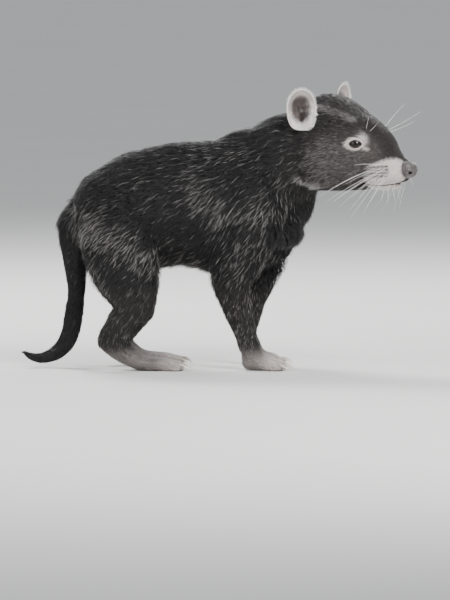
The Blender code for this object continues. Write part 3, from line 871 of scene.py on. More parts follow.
class Ground:
    """A surface that hair can grow on, with the way the hair lies at every point."""

    def __init__(self, piece, lie, keep=None):
        mesh = piece.data
        if UV_NAME not in mesh.uv_layers:
            unwrap(piece)
        self.points, self.normals = arrays(mesh)
        self.flow = lie(self.points, self.normals)
        self.kept = np.arange(len(self.points)) if keep is None else np.flatnonzero(keep)
        self.tree = grown_tree(self.points[self.kept])
        mesh.calc_loop_triangles()
        count = len(mesh.loop_triangles)
        verts, loops = np.empty(count * 3, int), np.empty(count * 3, int)
        mesh.loop_triangles.foreach_get("vertices", verts)
        mesh.loop_triangles.foreach_get("loops", loops)
        uv = np.empty(len(mesh.loops) * 2)
        mesh.uv_layers[UV_NAME].data.foreach_get("uv", uv)
        self.verts = verts.reshape(-1, 3)
        self.corners = self.points[self.verts]
        self.uv = uv.reshape(-1, 2)[loops.reshape(-1, 3)]
        first, second, third = self.corners.transpose(1, 0, 2)
        self.area = 0.5 * np.linalg.norm(np.cross(second - first, third - first), axis=1)
        self.middles = self.corners.mean(1)

    def under(self, places):
        """The nearest point, its normal and the lie of the hair, for each place."""
        here = self.kept[nearest(places, self.tree)]
        return self.points[here], self.normals[here], self.flow[here]

    def roots(self, weight, count):
        """Roots spread over the surface by area and weight, and their map places."""
        total = np.cumsum(self.area * weight)
        picks = np.searchsorted(total, (np.arange(count) + rng.random(count)) / count * total[-1])
        picks = np.minimum(picks, len(total) - 1)
        a, b = rng.random((2, count))
        flip = a + b > 1
        a[flip], b[flip] = 1 - a[flip], 1 - b[flip]
        mix = np.stack([1 - a - b, a, b], 1)[:, :, None]
        return (self.corners[picks] * mix).sum(1), (self.uv[picks] * mix).sum(1)


body = Ground(skin, lie_of_coat)
print("skin of", len(body.area), "triangles and", round(body.area.sum(), 3), "square metres")

# %% [markdown]
# ## Ears
#
# A devil's ear is a broad shell of thin skin, bare inside, with a pale rim and dark
# short fur on its back. The picture shows it as an upright oval whose rim closes below as well.
# A bowl cut from a ball would have an even wall and no folds. Here each spoke of the
# mesh starts in the bottom of the hollow, runs out to the rim, rolls over it and comes
# back along the outside, so the canal and the folds are pushed in as it goes. Where the
# head stands in front of the ear, the rim is pushed forward to clear it, up to a limit.

# %% Axes of the ears
EAR_SPOT = (0, 51.5, 333)  # root of an ear: ahead, out, height
EAR_POSE = {"right": (12, 6, 50), "left": (8, -5, 3)}  # lean out, lean ahead, facing
EAR_HALF_WIDTH = 19.2
EAR_MIDDLE, EAR_HALF_HEIGHT = 36.0, 28.8


def ear_axes(side, sign):
    """The ear's root and its own up, front and across."""
    lean, tip, facing = (math.radians(angle) for angle in EAR_POSE[side])
    rise = unit(UP * math.cos(lean) + LEFT * sign * math.sin(lean) + AHEAD * math.sin(tip))
    front = unit(flatten_onto(AHEAD * math.cos(facing) + LEFT * sign * math.sin(facing), rise))
    across = np.cross(rise, front) * sign  # towards the tail on both sides
    return in_head(EAR_SPOT[0], sign * EAR_SPOT[1], EAR_SPOT[2]), rise, front, across


def on_ear(points, side, sign):
    """Points as across, up and forward of an ear, and 0 to 1 from its middle to its rim."""
    root, rise, front, across = ear_axes(side, sign)
    away = (points - root) / MM
    x, z = away @ across, away @ rise
    return x, z, away @ front, np.hypot(x / EAR_HALF_WIDTH, (z - EAR_MIDDLE) / EAR_HALF_HEIGHT)


# %% Shape of an ear
EAR_SPOKES = 96
INNER_RINGS, ROLL_RINGS, OUTER_RINGS = 26, 4, 12
SEAT = (2.0, 33.0)  # deepest point of the hollow
HOLLOW_DEEP, BACK_DEEP = 14.0, 14.3
EAR_WALL, BACK_BULGE, RIM_ROLL = 2.2, 1.2, 1.4
EAR_FOLDS = (  # from, to (across, up); width; height
    ((-16, 39), (-5, 36), 2.2, 2.2),
    ((-16, 31), (-1, 28), 2.3, 2.6),
    ((8, 12), (11, 34), 2.8, 1.5),
)


def ear_edge(turn):
    """Across and up of the rim: round above, squarer below."""
    power = 2 / (2.0 + 0.9 * ease(np.cos(turn), 0, -0.4))
    x = EAR_HALF_WIDTH * np.sign(np.sin(turn)) * np.abs(np.sin(turn)) ** power
    z = EAR_HALF_HEIGHT * np.sign(np.cos(turn)) * np.abs(np.cos(turn)) ** power
    return x * (1 + 0.04 * np.cos(turn)), EAR_MIDDLE + z


def shallower_above(z):
    """The ear is a little flatter towards its top."""
    return 1 - 0.25 * ease(z, 25, 66)


def ear_back(share):
    """How far the back of the ear lies behind the rim, from its middle to its rim."""
    return BACK_DEEP * (1 - share**2.3)


def ear_cup(x, z, share, turn):
    """How far the hollow lies behind the rim's plane, with its canal and its folds."""
    depth = HOLLOW_DEEP * (1 - share**2.6) * shallower_above(z)
    depth += 5.0 * bell(np.hypot(x + 2, (z - 19) / 2), 4.6)
    ripple = 0
    for start, end, width, height in EAR_FOLDS:
        ripple += height * bell(off_line(np.stack([x, z], -1), start, end), width)
    return 3.0 + 1.2 * np.cos(turn * 2) - depth + ripple * ease(share, 1.0, 0.82)


skin_tree = bvhtree.BVHTree.FromPolygons(
    [tuple(p) for p in body.points.tolist()], [tuple(p.vertices) for p in skin.data.polygons]
)


LOOK_FROM, LOOK_FAR = 60.0, 75.0  # a ray starts this far in front, and goes this far


def skin_level(side, sign, x, z):
    """How far the head's skin lies in front of the ear's plane, in millimetres."""
    root, rise, front, across = ear_axes(side, sign)
    levels = []
    for xi, zi in zip(x, z):
        start = root + (across * xi + rise * zi + front * LOOK_FROM) * MM
        hit = skin_tree.ray_cast(Vector(start), Vector(-front), LOOK_FAR * MM)[0]
        level = LOOK_FROM - LOOK_FAR if hit is None else (np.array(hit) - root) @ front / MM
        levels.append(level)
    return np.array(levels)


def at_least(value, floor_value, softness=1.0):
    """The larger of two numbers, with a rounded corner."""
    return floor_value + softness * np.logaddexp(0, (value - floor_value) / softness)


# %% Build the ears
RIM_STANDS, CUP_STANDS = 6.0, 1.6  # over the head's skin, in millimetres
MOST_PUSH, MOST_CUP = 11.0, 9.0  # past these the ear sinks into the head
PUSH_ROUNDS = 12
EAR_PROFILE = (  # share of the way out to the rim, and of the way over it to the back
    [(k / INNER_RINGS, 0) for k in range(INNER_RINGS + 1)]
    + [(1.0, (k + 1) / (ROLL_RINGS + 1)) for k in range(ROLL_RINGS)]
    + [(1 - k / OUTER_RINGS, 1) for k in range(OUTER_RINGS + 1)]
)


def rim_push(side, sign, turn):
    """How far each point of the rim is pushed forward to stand clear of the head."""
    edge_x, edge_z = ear_edge(turn)
    level = ear_cup(edge_x, edge_z, 1.0, turn)
    push = at_least(level, skin_level(side, sign, edge_x, edge_z) + RIM_STANDS) - level
    push = -at_least(-push, -MOST_PUSH)
    # It is smoothed round the ear, so the rim stays a clean curve.
    for _ in range(PUSH_ROUNDS):
        push = (np.roll(push, 1) + push * 2 + np.roll(push, -1)) / 4
    return push


def ear_ring(side, sign, turn, push, share, over):
    """One ring of the ear: across, up and forward of every point."""
    edge_x, edge_z = ear_edge(turn)
    x = SEAT[0] + (edge_x - SEAT[0]) * share
    z = SEAT[1] + (edge_z - SEAT[1]) * share
    if over == 0:
        inner = ear_cup(x, z, share, turn) + push * share**3
        lowest = np.minimum(skin_level(side, sign, x, z) + CUP_STANDS, MOST_CUP)
        return x, z, at_least(inner, lowest) if share < 1 else inner
    rim_level = ear_cup(edge_x, edge_z, 1.0, turn)
    outer = rim_level + push * share**4 - ear_back(share) * shallower_above(z)
    outer -= EAR_WALL + BACK_BULGE * math.sqrt(max(1 - share**2, 0))
    if over == 1:
        return x, z, outer
    roll = math.sin(over * math.pi) * RIM_ROLL
    level = rim_level + push + (outer - rim_level - push) * over
    return x + roll * np.sin(turn), z + roll * np.cos(turn), level


def make_ear(side, sign):
    """One ear as a closed shell."""
    root, rise, front, across = ear_axes(side, sign)
    turn = 2 * np.pi * np.arange(EAR_SPOKES) / EAR_SPOKES
    push = rim_push(side, sign, turn)
    points, sizes, masks = [], [], {"hollow": [], "back": [], "rim": []}
    for share, over in EAR_PROFILE:
        size = 1 if share == 0 else EAR_SPOKES
        x, z, level = ear_ring(side, sign, turn, push, share, over)
        spots = root + (across * x[:, None] + rise * z[:, None] + front * level[:, None]) * MM
        points += list(spots[:size])
        sizes.append(size)
        # The hollow mask carries the painted shade inside the ear.
        hollow = float(ease(share, 0.90, 0.46)) * (over == 0)
        rim = float(ease(share, 0.60, 0.82)) * (1.0 if over < 1 else 0.4)
        for name, value in (("hollow", hollow), ("back", float(over > 0.7)), ("rim", rim)):
            masks[name] += [value] * size
    faces = ring_faces(sizes)
    piece = mesh_piece("outer_ear_" + side, points, faces if sign > 0 else [f[::-1] for f in faces])
    for name, values in masks.items():
        mark(piece.data, name, values)
    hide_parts("ear_" + side)
    print("ear", side, "rim pushed up to", round(float(push.max()), 1), "mm")
    return piece


ears = [make_ear(side, sign) for side, sign in SIDES]
print("ears", len(ears[0].data.polygons), "faces each")

# %% [markdown]
# ## A tuft
#
# Hair curves and particle hair look well in Blender, but they don't leave it as mesh.
# So one tuft is a slim closed blade with a triangle for its section, which is as few
# faces as a solid hair can have. It starts at a point under the skin, swells, bends
# down onto the coat and ends in a point. It walks over the skin in short steps, turning
# with the lie of the coat. Neighbouring tufts lean towards one shared tip, which makes
# the small locks of a coarse coat. A long tuft has two rings between its ends and a
# short one has one.

# %% Walk over the skin


def walk(ground, roots, length, swing, shares):
    """Places on the skin under a hair at each share of its length, with normal and way."""
    base, normal, flow = ground.under(roots)
    place, last = roots, 0.0
    stops = []
    for share in shares:
        way = flow * np.cos(swing)[:, None] + np.cross(normal, flow) * np.sin(swing)[:, None]
        if share > last:
            place = place + way * (length * (share - last) * MM)[:, None]
            base, normal, flow = ground.under(place)
            place = place - normal * ((place - base) * normal).sum(1, keepdims=True)
            last = share
        stops.append((place, normal, unit(flatten_onto(way, normal))))
    return stops


LOCK_TUFTS = 7  # tufts that share one tip
LONG, SHORT = (0.0, 0.32, 0.68, 1.0), (0.0, 0.42, 1.0)
LONG_RISE, SHORT_RISE = (0.0, 0.62, 0.92, 1.0), (0.0, 0.8, 1.0)
LONG_PULL, SHORT_PULL = (0.0, 0.06, 0.26, 0.48), (0.0, 0.1, 0.35)
ROOT_SUNK = 0.7  # how far a root starts below the skin, in millimetres
RING_HALF, RIDGE_TALL = (0.5, 0.36), 0.8  # half width of each ring, height of its ridge


def blades(ground, roots, length, width, rise, swing, pull, is_long):
    """Corner points of every tuft: a root, one or two rings of three, and a tip."""
    shares, rises, pulls = (
        (LONG, LONG_RISE, LONG_PULL) if is_long else (SHORT, SHORT_RISE, SHORT_PULL)
    )
    count = len(roots)
    own = walk(ground, roots, length, swing, shares)
    picks = rng.choice(count, max(count // LOCK_TUFTS, 1), replace=False)
    lock = nearest(roots, grown_tree(roots[picks]))
    rise = rise * rng.uniform(0.8, 1.2, len(picks))[lock]
    rings = []
    for k, (place, normal, way) in enumerate(own):
        shared = place[picks][lock]
        place = place + (shared - place) * (pulls[k] * pull)[:, None]
        level = -ROOT_SUNK if k == 0 else rise * rises[k]
        spot = place + normal * (level * np.ones(count) * MM)[:, None]
        if k in (0, len(own) - 1):
            rings.append(spot[:, None])
            continue
        across = np.cross(normal, way)
        half = (width * RING_HALF[k - 1] * MM)[:, None]
        ridge = spot + normal * half * RIDGE_TALL
        rings.append(np.stack([spot - across * half, ridge, spot + across * half], 1))
    return np.concatenate(rings, 1)


def tuft_faces(is_long):
    """The faces of one tuft, as vertex numbers, facing outward."""
    rings = 2 if is_long else 1
    tip = 1 + 3 * rings
    threes, fours = [], []
    for c in range(3):
        d = (c + 1) % 3
        threes.append((0, 1 + c, 1 + d))
        threes.append((tip - 3 + c, tip, tip - 3 + d))
        if is_long:
            fours.append((1 + c, 4 + c, 4 + d, 1 + d))
    return threes, fours, tip + 1


print("a long tuft has", len(tuft_faces(True)[0]) + 2 * len(tuft_faces(True)[1]), "triangles")

# %% [markdown]
# ## A piece of the coat
#
# `grow` makes one mesh from thousands of tufts. Most of them are the dark undercoat.
# The rest are guard hairs: longer, thinner, standing a little higher, and pale where
# the markings say so. Adding tufts one by one would take minutes, so all their corners
# are worked out together as one array and handed to the mesh at once. Each tuft keeps
# its masks as a colour for the material to read, and a patch of the map at its root.

# %% Sizes of the tufts


def tail_end(points):
    """The last part of the tail, where the coat is short."""
    return ease(points[:, 0] / MM, -236, -262) * ease(points[:, 2] / MM, 60, 40)


def off_ears(points):
    """Millimetres outside the outline of the nearer ear; 99 where no ear is near."""
    nearest_gap = np.full(len(points), 99.0)
    for side, sign in SIDES:
        x, z, out, share = on_ear(points, side, sign)
        near = (out > -ear_back(np.minimum(share, 1)) - 2) & (out < 14)
        gap = (share - 1) * EAR_HALF_WIDTH
        nearest_gap = np.where(near, np.minimum(nearest_gap, gap), nearest_gap)
    return nearest_gap


TUFT_LONG = {
    "body": 18.0, "head": 12.5, "face": 8.5, "muzzle": 3.4, "legs": 11.5, "feet": 4.2, "tail": 15.0,
}  # fmt: skip
TUFT_WIDE = {
    "body": 1.1, "head": 0.85, "face": 0.62, "muzzle": 0.45, "legs": 0.9, "feet": 0.55, "tail": 1.0,
}  # fmt: skip
LID_TUFT = (2.6, 0.45, 0.7)  # length, width and height of the tufts round the lids
SHORTEST_AT_EAR = 2.4
TIP_SHORTER = 7.0


def tuft_sizes(points):
    """Length, width and standing height in millimetres at each root."""
    length = by_region(points, **TUFT_LONG)
    width = by_region(points, **TUFT_WIDE)
    eye_near = np.zeros(len(points))
    for side in EYES:
        gap, _, _, out = lid_gap(points, side)
        eye_near = np.maximum(eye_near, ease(gap, 9, 2) * (out > -2))
    ear_gap = off_ears(points)
    length = np.minimum(length, np.maximum(ear_gap, SHORTEST_AT_EAR))
    length -= TIP_SHORTER * tail_end(points)
    depth = coat_depth(points) * (0.3 + 0.7 * ease(ear_gap, 1, 9))
    own = (length, width, depth)
    return tuple(value + (at_lid - value) * eye_near for value, at_lid in zip(own, LID_TUFT))


def fringe(points, normals):
    """Where the coat stands out: belly, throat, chest and the backs of the legs."""
    z = points[:, 2] / MM
    mask = regions(points)
    belly = ease(normals[:, 2], -0.2, -0.8) * ease(z, 120, 132) * ease(z, 175, 150)
    chest = ease(normals[:, 0], 0.5, 0.9) * ease(z, 110, 150) * (1 - mask["head"])
    rear = ease(normals[:, 0], -0.5, -0.9) * ease(z, 60, 90) * (1 - mask["tail"])
    ahead = head_coords(points)[0]
    jaw = mask["head"] * ease(normals[:, 2], -0.1, -0.7) * ease(ahead, 95, 80)
    ruff = bell(off_ruff(points), 5)
    return np.clip(belly + chest * 0.7 + rear * 0.8 + jaw * 0.7 + ruff * 1.2, 0, 1.5)


def body_style(roots, normals):
    """Everything about the body's tufts at their roots."""
    return (*tuft_sizes(roots), *markings_and_highlight(roots), fringe(roots, normals))


# %% Grow one piece
PATCH = 0.003  # size of a tuft's patch on the map
GUARD_SHARE, MORE_GUARD = 0.3, 0.35  # guard hairs among the tufts, and more where silver
GUARD_LONG, GUARD_THIN, GUARD_HIGH, GUARD_LOOSE = 1.2, 0.58, 0.22, 0.7
STANDS_OUT = 0.7  # how much higher a fringe stands


def tuft_mesh(name, corners, is_long):
    """A mesh of tufts from their corners, and the corner that each face corner uses."""
    threes, fours, per = tuft_faces(is_long)
    count = len(corners)
    first = (np.arange(count) * per)[:, None, None]
    three_ids = (np.array(threes)[None] + first).reshape(-1, 3)
    four_ids = (np.array(fours)[None] + first).reshape(-1, 4) if fours else np.empty((0, 4), int)
    mesh = bpy.data.meshes.new(name)
    mesh.vertices.add(count * per)
    mesh.vertices.foreach_set("co", corners.astype(np.float32).ravel())
    loops = np.concatenate([four_ids.ravel(), three_ids.ravel()]).astype(np.int32)
    mesh.loops.add(len(loops))
    mesh.loops.foreach_set("vertex_index", loops)
    starts = np.concatenate(
        [np.arange(len(four_ids)) * 4, len(four_ids) * 4 + np.arange(len(three_ids)) * 3]
    )
    mesh.polygons.add(len(starts))
    mesh.polygons.foreach_set("loop_start", starts.astype(np.int32))
    mesh.update(calc_edges=True)
    return mesh, loops


def lay_map(mesh, loops, root_uv, is_long):
    """Gives each tuft a patch at its root's place on the map, its length up the patch."""
    count, shares = len(root_uv), LONG if is_long else SHORT
    along = np.concatenate([[0]] + [[share] * 3 for share in shares[1:-1]] + [[1]])
    sideways = np.concatenate([[0]] + [[-1, 0, 1]] * (len(shares) - 2) + [[0]]) * PATCH / 2
    patch = np.stack([np.tile(sideways, count), np.tile((along - 0.5) * PATCH, count)], 1)
    patch += np.repeat(root_uv, len(along), 0)
    layer = mesh.uv_layers.new(name=UV_NAME)
    layer.data.foreach_set("uv", patch[loops].astype(np.float32).ravel())
    mark(mesh, "along", np.tile(along, count))


def colour_marks(mesh, masks):
    """Stores four masks per vertex as one colour: pale, brown, silver and luck."""
    held = mesh.color_attributes.new(name="marks", type="FLOAT_COLOR", domain="POINT")
    held.data.foreach_set("color", masks.astype(np.float32).ravel())


def grow(name, ground, weight, count, is_long, style=body_style):
    """One piece of the coat: tufts rooted where the weight allows."""
    roots, root_uv = ground.roots(weight, count)
    length, width, depth, pale, brown, silver, stand = style(roots, ground.under(roots)[1])
    guard = rng.random(count) < GUARD_SHARE + MORE_GUARD * silver
    length *= rng.uniform(0.7, 1.15, count) * np.where(guard, GUARD_LONG, 1.0)
    width *= rng.uniform(0.75, 1.15, count) * np.where(guard, GUARD_THIN, 1.0)
    rise = depth * (rng.uniform(0.5, 0.95, count) + np.where(guard, GUARD_HIGH, 0.0))
    rise *= 1 + STANDS_OUT * stand
    swing = rng.normal(0, 0.2, count)
    pull = rng.uniform(0.5, 1.0, count) * np.where(guard, GUARD_LOOSE, 1.0)
    corners = blades(ground, roots, length, width, rise, swing, pull, is_long)
    corners[:, :, 2] = np.maximum(corners[:, :, 2], 0.0)  # no hair goes through the floor
    mesh, loops = tuft_mesh(name, corners, is_long)
    lay_map(mesh, loops, root_uv, is_long)
    # Mostly painted highlight: the tufts picked here take pale tips from the silver mask.
    shine = (guard & (rng.random(count) < silver)) | (rng.random(count) < silver - 0.75)
    shine = shine * rng.uniform(0.45, 1.0, count)
    masks = np.stack([pale, brown, shine, rng.random(count)], 1)
    colour_marks(mesh, np.repeat(masks, corners.shape[1], 0))
    piece = add_object(name, mesh)
    print(name, count, "tufts", count * (12 if is_long else 6), "triangles")
    return piece


# %% [markdown]
# ## Parts of the coat
#
# A pelt has no seams, but one mesh of all its hair would be too heavy to handle. So the
# coat is grown in pieces. Together they cover the whole skin, with no gap where two of
# them meet, because each triangle of the skin belongs to exactly one piece. The face
# and feet take many short tufts, and the body takes long ones.

# %% Where nothing grows
x_mid, z_mid = body.middles.T[[0, 2]] / MM
mid_mask = regions(body.middles)
mid_ahead = head_coords(body.middles)[0]
SOLE_TALL, LID_BARE, LIP_BARE, PAD_BARE, EAR_BARE = 2.0, 0.8, 0.8, 12.6, 1.2
bare = z_mid < SOLE_TALL
for side, sign in SIDES:
    gap, _, _, out = lid_gap(body.middles, side)
    bare |= (gap < LID_BARE) & (out > -3)
mid_off, mid_there = off_mouth(body.middles)
bare |= (np.abs(mid_off) < LIP_BARE) & (mid_there > 0.5)
nose_gap = np.linalg.norm(body.middles - in_head(*NOSE_SPOT), axis=1) / MM
bare |= (mid_ahead > 130) & (nose_gap < PAD_BARE)
bare |= (off_ears(body.middles) < EAR_BARE) & (z_mid > 300)
print("bare triangles", int(bare.sum()), "of", len(bare))

# %% Divide the skin into the pieces of the coat
FOOT_TALL, LEG_TALL = 36, 118
is_tail = mid_mask["tail"] > 0.5
is_face = (mid_mask["head"] > 0.5) & (mid_ahead > 30)
is_foot = (z_mid < FOOT_TALL) & ~is_tail
is_leg = (z_mid < LEG_TALL) & ~is_foot & ~is_tail
is_fore, is_hind = is_leg & (x_mid > -40), is_leg & (x_mid <= -40)
is_up = ~(is_face | is_tail | is_foot | is_leg)
is_crown = is_up & (mid_ahead > -62) & (x_mid > 62) & (z_mid > 180)
is_shoulder = is_up & ~is_crown & (x_mid > -22)
is_rump = is_up & (x_mid < -118)
is_flank = is_up & ~(is_crown | is_shoulder | is_rump)

# %% Grow the coat piece by piece
coat_share = 1.0
face_weight = 1.0 + 1.0 * mid_mask["muzzle"] + 0.8 * mid_mask["face"]
COAT = (  # name, slot, where, number of tufts, long ones, weight
    ("coat_face", "head", is_face, 32000, False, face_weight),
    ("coat_crown", "neck", is_crown, 14500, True, 1.0),
    ("coat_shoulders", "chest", is_shoulder, 15500, True, 1.0),
    ("coat_flanks", "loin", is_flank, 16000, True, 1.0),
    ("coat_rump", "thigh_right", is_rump, 15000, True, 1.0),
    ("coat_forelegs", "upper_arm_right", is_fore, 11000, True, 1.0),
    ("coat_hind_legs", "shank_right", is_hind, 11000, True, 1.0),
    ("coat_feet", "forefoot_right", is_foot, 15000, False, 1.0),
    ("coat_tail", "tail_base", is_tail, 8500, True, 1.0),
)
coat = [
    grow(name, body, np.where(where & ~bare, density, 0.0), int(count * coat_share), is_long)
    for name, slot, where, count, is_long, density in COAT
]

# %% [markdown]
# ## Eyes
#
# On a museum mount each eyeball is a ball of glass: dark brown round a black pupil,
# with a slightly bulging front that catches the light. Blender's own ball has its poles
# up and down. This one has them along the way it looks, so that the rings of faces are
# also rings round the pupil. Each point keeps its angle from the pupil for the material
# to read.

# %% Eyeballs
EYE_RINGS, EYE_SPOKES = 40, 56
CORNEA, CORNEA_WIDE = 0.55, 0.62  # bulge of the front in mm, and its spread as an angle


def make_eye(side):
    """An eyeball looking along its gaze."""
    middle, gaze, front, up = EYES[side]
    points, angles, sizes = [], [], [1] + [EYE_SPOKES] * (EYE_RINGS - 1) + [1]
    for ring, size in enumerate(sizes):
        angle = math.pi * ring / EYE_RINGS
        reach = EYE_RADIUS - 0.1 + CORNEA * math.exp(-((angle / CORNEA_WIDE) ** 2))
        for spoke in range(size):
            turn = 2 * math.pi * spoke / EYE_SPOKES
            around = front * math.cos(turn) + up * math.sin(turn)
            way = gaze * math.cos(angle) + around * math.sin(angle)
            points.append(middle + way * reach * MM)
            angles.append(angle)
    faces = ring_faces(sizes)
    if side == "right":
        faces = [face[::-1] for face in faces]
    piece = mesh_piece("eyeball_" + side, points, faces)
    mark(piece.data, "from_pupil", angles)
    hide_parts("eye_" + side)
    return piece


eyeballs = [make_eye(side) for side, sign in SIDES]
print("eyeballs", len(eyeballs[0].data.polygons), "faces each")

# %% [markdown]
# ## Rims of the lids
#
# Where a lid meets the eye it has a narrow, dark, hairless edge that is always a little
# wet. A bevelled curve would do, but its roll is hard to steer, so a tube is laid along
# a path of points. It follows the almond, rests on the ball, and also covers the rough
# edge where the skin turns in. The same tube makes claws and whiskers.

# %% A tube along a path


def tube(path, radii, out_ways, sides, closed=False):
    """Points and faces of a tube; out_ways give the top of its section at each stop."""
    path, count = np.asarray(path), len(path)
    if closed:
        tangent = unit(np.roll(path, -1, 0) - np.roll(path, 1, 0))
    else:
        tangent = unit(np.gradient(path, axis=0))
    top = unit(flatten_onto(out_ways, tangent))
    across = np.cross(tangent, top)
    turn = np.arange(sides) * 2 * np.pi / sides
    wide, high = np.broadcast_to(np.asarray(radii, float).reshape(-1, 2), (count, 2)).T
    sideways = across[:, None] * (np.cos(turn) * wide[:, None])[:, :, None]
    upwards = top[:, None] * (np.sin(turn) * high[:, None])[:, :, None]
    points = (path[:, None] + MM * (sideways + upwards)).reshape(-1, 3)
    sizes = [sides] * count
    if not closed:
        points = np.concatenate([path[:1], points, path[-1:]])
        sizes = [1] + sizes + [1]
    return points, ring_faces(sizes, closed, turned=True)


# %% The rims
RIM_STOPS, RIM_SIDES = 44, 8
RIM_RADII, RIM_OFF_BALL = (1.05, 0.85), 0.55


def make_lid_rim(side):
    """The dark edge of the two lids."""
    middle, gaze, front, up = EYES[side]
    half, upper, lower = ALMOND
    stop = np.arange(RIM_STOPS)
    is_upper = stop < RIM_STOPS / 2
    across = half * np.cos(stop * 2 * np.pi / RIM_STOPS)
    reach = np.where(is_upper, upper, lower)
    bend = (half**2 + reach**2) / (2 * reach)
    over = np.sqrt(np.maximum(bend**2 - across**2, 0)) - (bend - reach)
    over = np.where(is_upper, over, -over)
    out = np.sqrt((EYE_RADIUS + RIM_OFF_BALL) ** 2 - across**2 - over**2)
    away = across[:, None] * front + over[:, None] * up + out[:, None] * gaze
    points, faces = tube(middle + away * MM, RIM_RADII, unit(away), RIM_SIDES, closed=True)
    piece = mesh_piece("lid_rim_" + side, points, faces)
    return piece


lid_rims = [make_lid_rim(side) for side, sign in SIDES]
print("lid rims", len(lid_rims[0].data.polygons), "faces each")

# %% [markdown]
# ## Nose
#
# The bare nose pad is leathery, broad above and narrow below, with two comma-shaped
# nostrils and a groove down the middle. Nostrils cut with Booleans have sharp lips, and
# these are soft. So the pad is a ball squared off a little, on a fine grid, whose points
# are pushed in and out by where they are on it.

# %% Nose pad
NOSE_RINGS, NOSE_SPOKES = 72, 110
NOSTRIL = (0.70, 0.62, -0.33)  # the middle of a nostril: ahead, out and up on the pad
NOSTRIL_SLIT = (0.42, 0.88, -0.12)  # the tail of the comma, at the pad's side
NOSTRIL_DEEP, SLIT_DEEP = 5.2, 1.3
NOSE_SQUARE, NOSE_SPREAD, NOSE_INSIDE = 0.88, 0.22, 0.985


def make_nose():
    """The nose pad with its nostrils."""
    level = np.linspace(-math.pi / 2, math.pi / 2, NOSE_RINGS)[1:-1]
    turn = np.arange(NOSE_SPOKES) * 2 * np.pi / NOSE_SPOKES
    level, turn = (grid.ravel() for grid in np.meshgrid(level, turn, indexing="ij"))
    ways = np.stack([np.cos(level) * np.cos(turn), np.cos(level) * np.sin(turn), np.sin(level)], 1)
    ways = np.concatenate([[[0, 0, -1]], ways, [[0, 0, 1]]])
    ahead, out, up = ways[:, 0], np.abs(ways[:, 1]), ways[:, 2]
    folded = np.stack([ahead, out, up], 1)
    hole = np.linalg.norm((folded - unit(np.array(NOSTRIL))) / (0.24, 0.24, 0.17), axis=1)
    slit = np.linalg.norm((folded - unit(np.array(NOSTRIL_SLIT))) / (0.34, 0.34, 0.10), axis=1)
    push = -NOSTRIL_DEEP * ease(hole, 1.25, 0.6) - SLIT_DEEP * ease(slit, 1.3, 0.4)
    # A raised lip round the nostril, and the groove down the middle.
    push += 0.8 * bell(hole - 1.9, 0.6) * ease(ahead, 0, 0.3)
    push -= 0.9 * bell(out, 0.07) * ease(ahead, 0.2, 0.5) * ease(up, 0.75, 0.2)
    square = np.sign(ways) * np.abs(ways) ** NOSE_SQUARE
    square[:, 1] *= 1 + NOSE_SPREAD * up
    local = square * NOSE_HALF * NOSE_INSIDE + ways * push[:, None]
    spots = in_head(*NOSE_SPOT) + (
        local[:, :1] * AHEAD + local[:, 1:2] * LEFT + local[:, 2:] * UP
    ) * MM
    sizes = [1] + [NOSE_SPOKES] * (NOSE_RINGS - 2) + [1]
    piece = mesh_piece("nose_pad", spots, ring_faces(sizes, turned=True))
    # The pit mask carries the painted shade of the nostrils, by their depth.
    mark(piece.data, "pit", np.clip(-push / 3.5, 0, 1))
    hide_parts("nose")
    return piece


nose_pad = make_nose()
print("nose pad", len(nose_pad.data.polygons), "faces")

# %% [markdown]
# ## Claws
#
# The claws are horn: narrow, curved downward, darker at the root and clear at the
# point. A cone would be too straight, so each is a tube along a curve that rises and
# then hooks down, with sides flatter than its top. It follows the place and the
# direction of its node of the frame. The claws of one foot make one piece.

# %% Claws
CLAW_STOPS, CLAW_SIDES = 12, 12
CLAW_LONG, CLAW_SUNK = 16.005, 2.5  # root to point on the level, and how far it starts back
CLAW_ARCH, CLAW_HOOK = 1.6, 5.4  # how far it rises, and how far its point drops
CLAW_HALF_WIDTH, CLAW_HALF_HEIGHT = 1.75, 2.3
CLAW_LOWEST = 0.8 * MM


def make_claws(foot):
    """All the claws of one foot."""
    points, faces, tips = [], [], []
    share = np.linspace(0, 1, CLAW_STOPS)
    forth = CLAW_LONG * share - CLAW_SUNK
    drop = CLAW_ARCH * np.sin(share * math.pi) - CLAW_HOOK * share**2.4
    thin = (1 - share**1.6) * 0.93 + 0.07
    radii = np.stack([CLAW_HALF_WIDTH * thin, CLAW_HALF_HEIGHT * thin], 1)
    for node in CLAW_NODES[foot]:
        root, way = CLAW_LINES[node]
        path = root + (way * forth[:, None] + UP * drop[:, None]) * MM
        path[:, 2] = np.maximum(path[:, 2], CLAW_LOWEST)
        spots, sides = tube(path, radii, np.tile(UP, (CLAW_STOPS, 1)), CLAW_SIDES)
        faces += [[v + len(points) for v in face] for face in sides]
        points += list(spots)
        tips += [0, *np.repeat(share, CLAW_SIDES), 1]
    piece = mesh_piece(foot.replace("claw", "claws"), points, faces)
    mark(piece.data, "along", tips)
    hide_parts(*CLAW_NODES[foot])
    return piece


claws = [make_claws(foot) for foot in CLAW_NODES]
print("claws on each foot", [len(nodes) for nodes in CLAW_NODES.values()])

# %% [markdown]
# ## Whiskers
#
# Long stiff whiskers stand in rows on the muzzle, with others on the brow and the chin.
# A devil feels its way with them in the dark. Each is a very thin tapering tube. It
# starts inside the skin, leaves in its own direction and sags a little, more the longer
# it is. The list gives each one its place, so that they fan out as drawn.

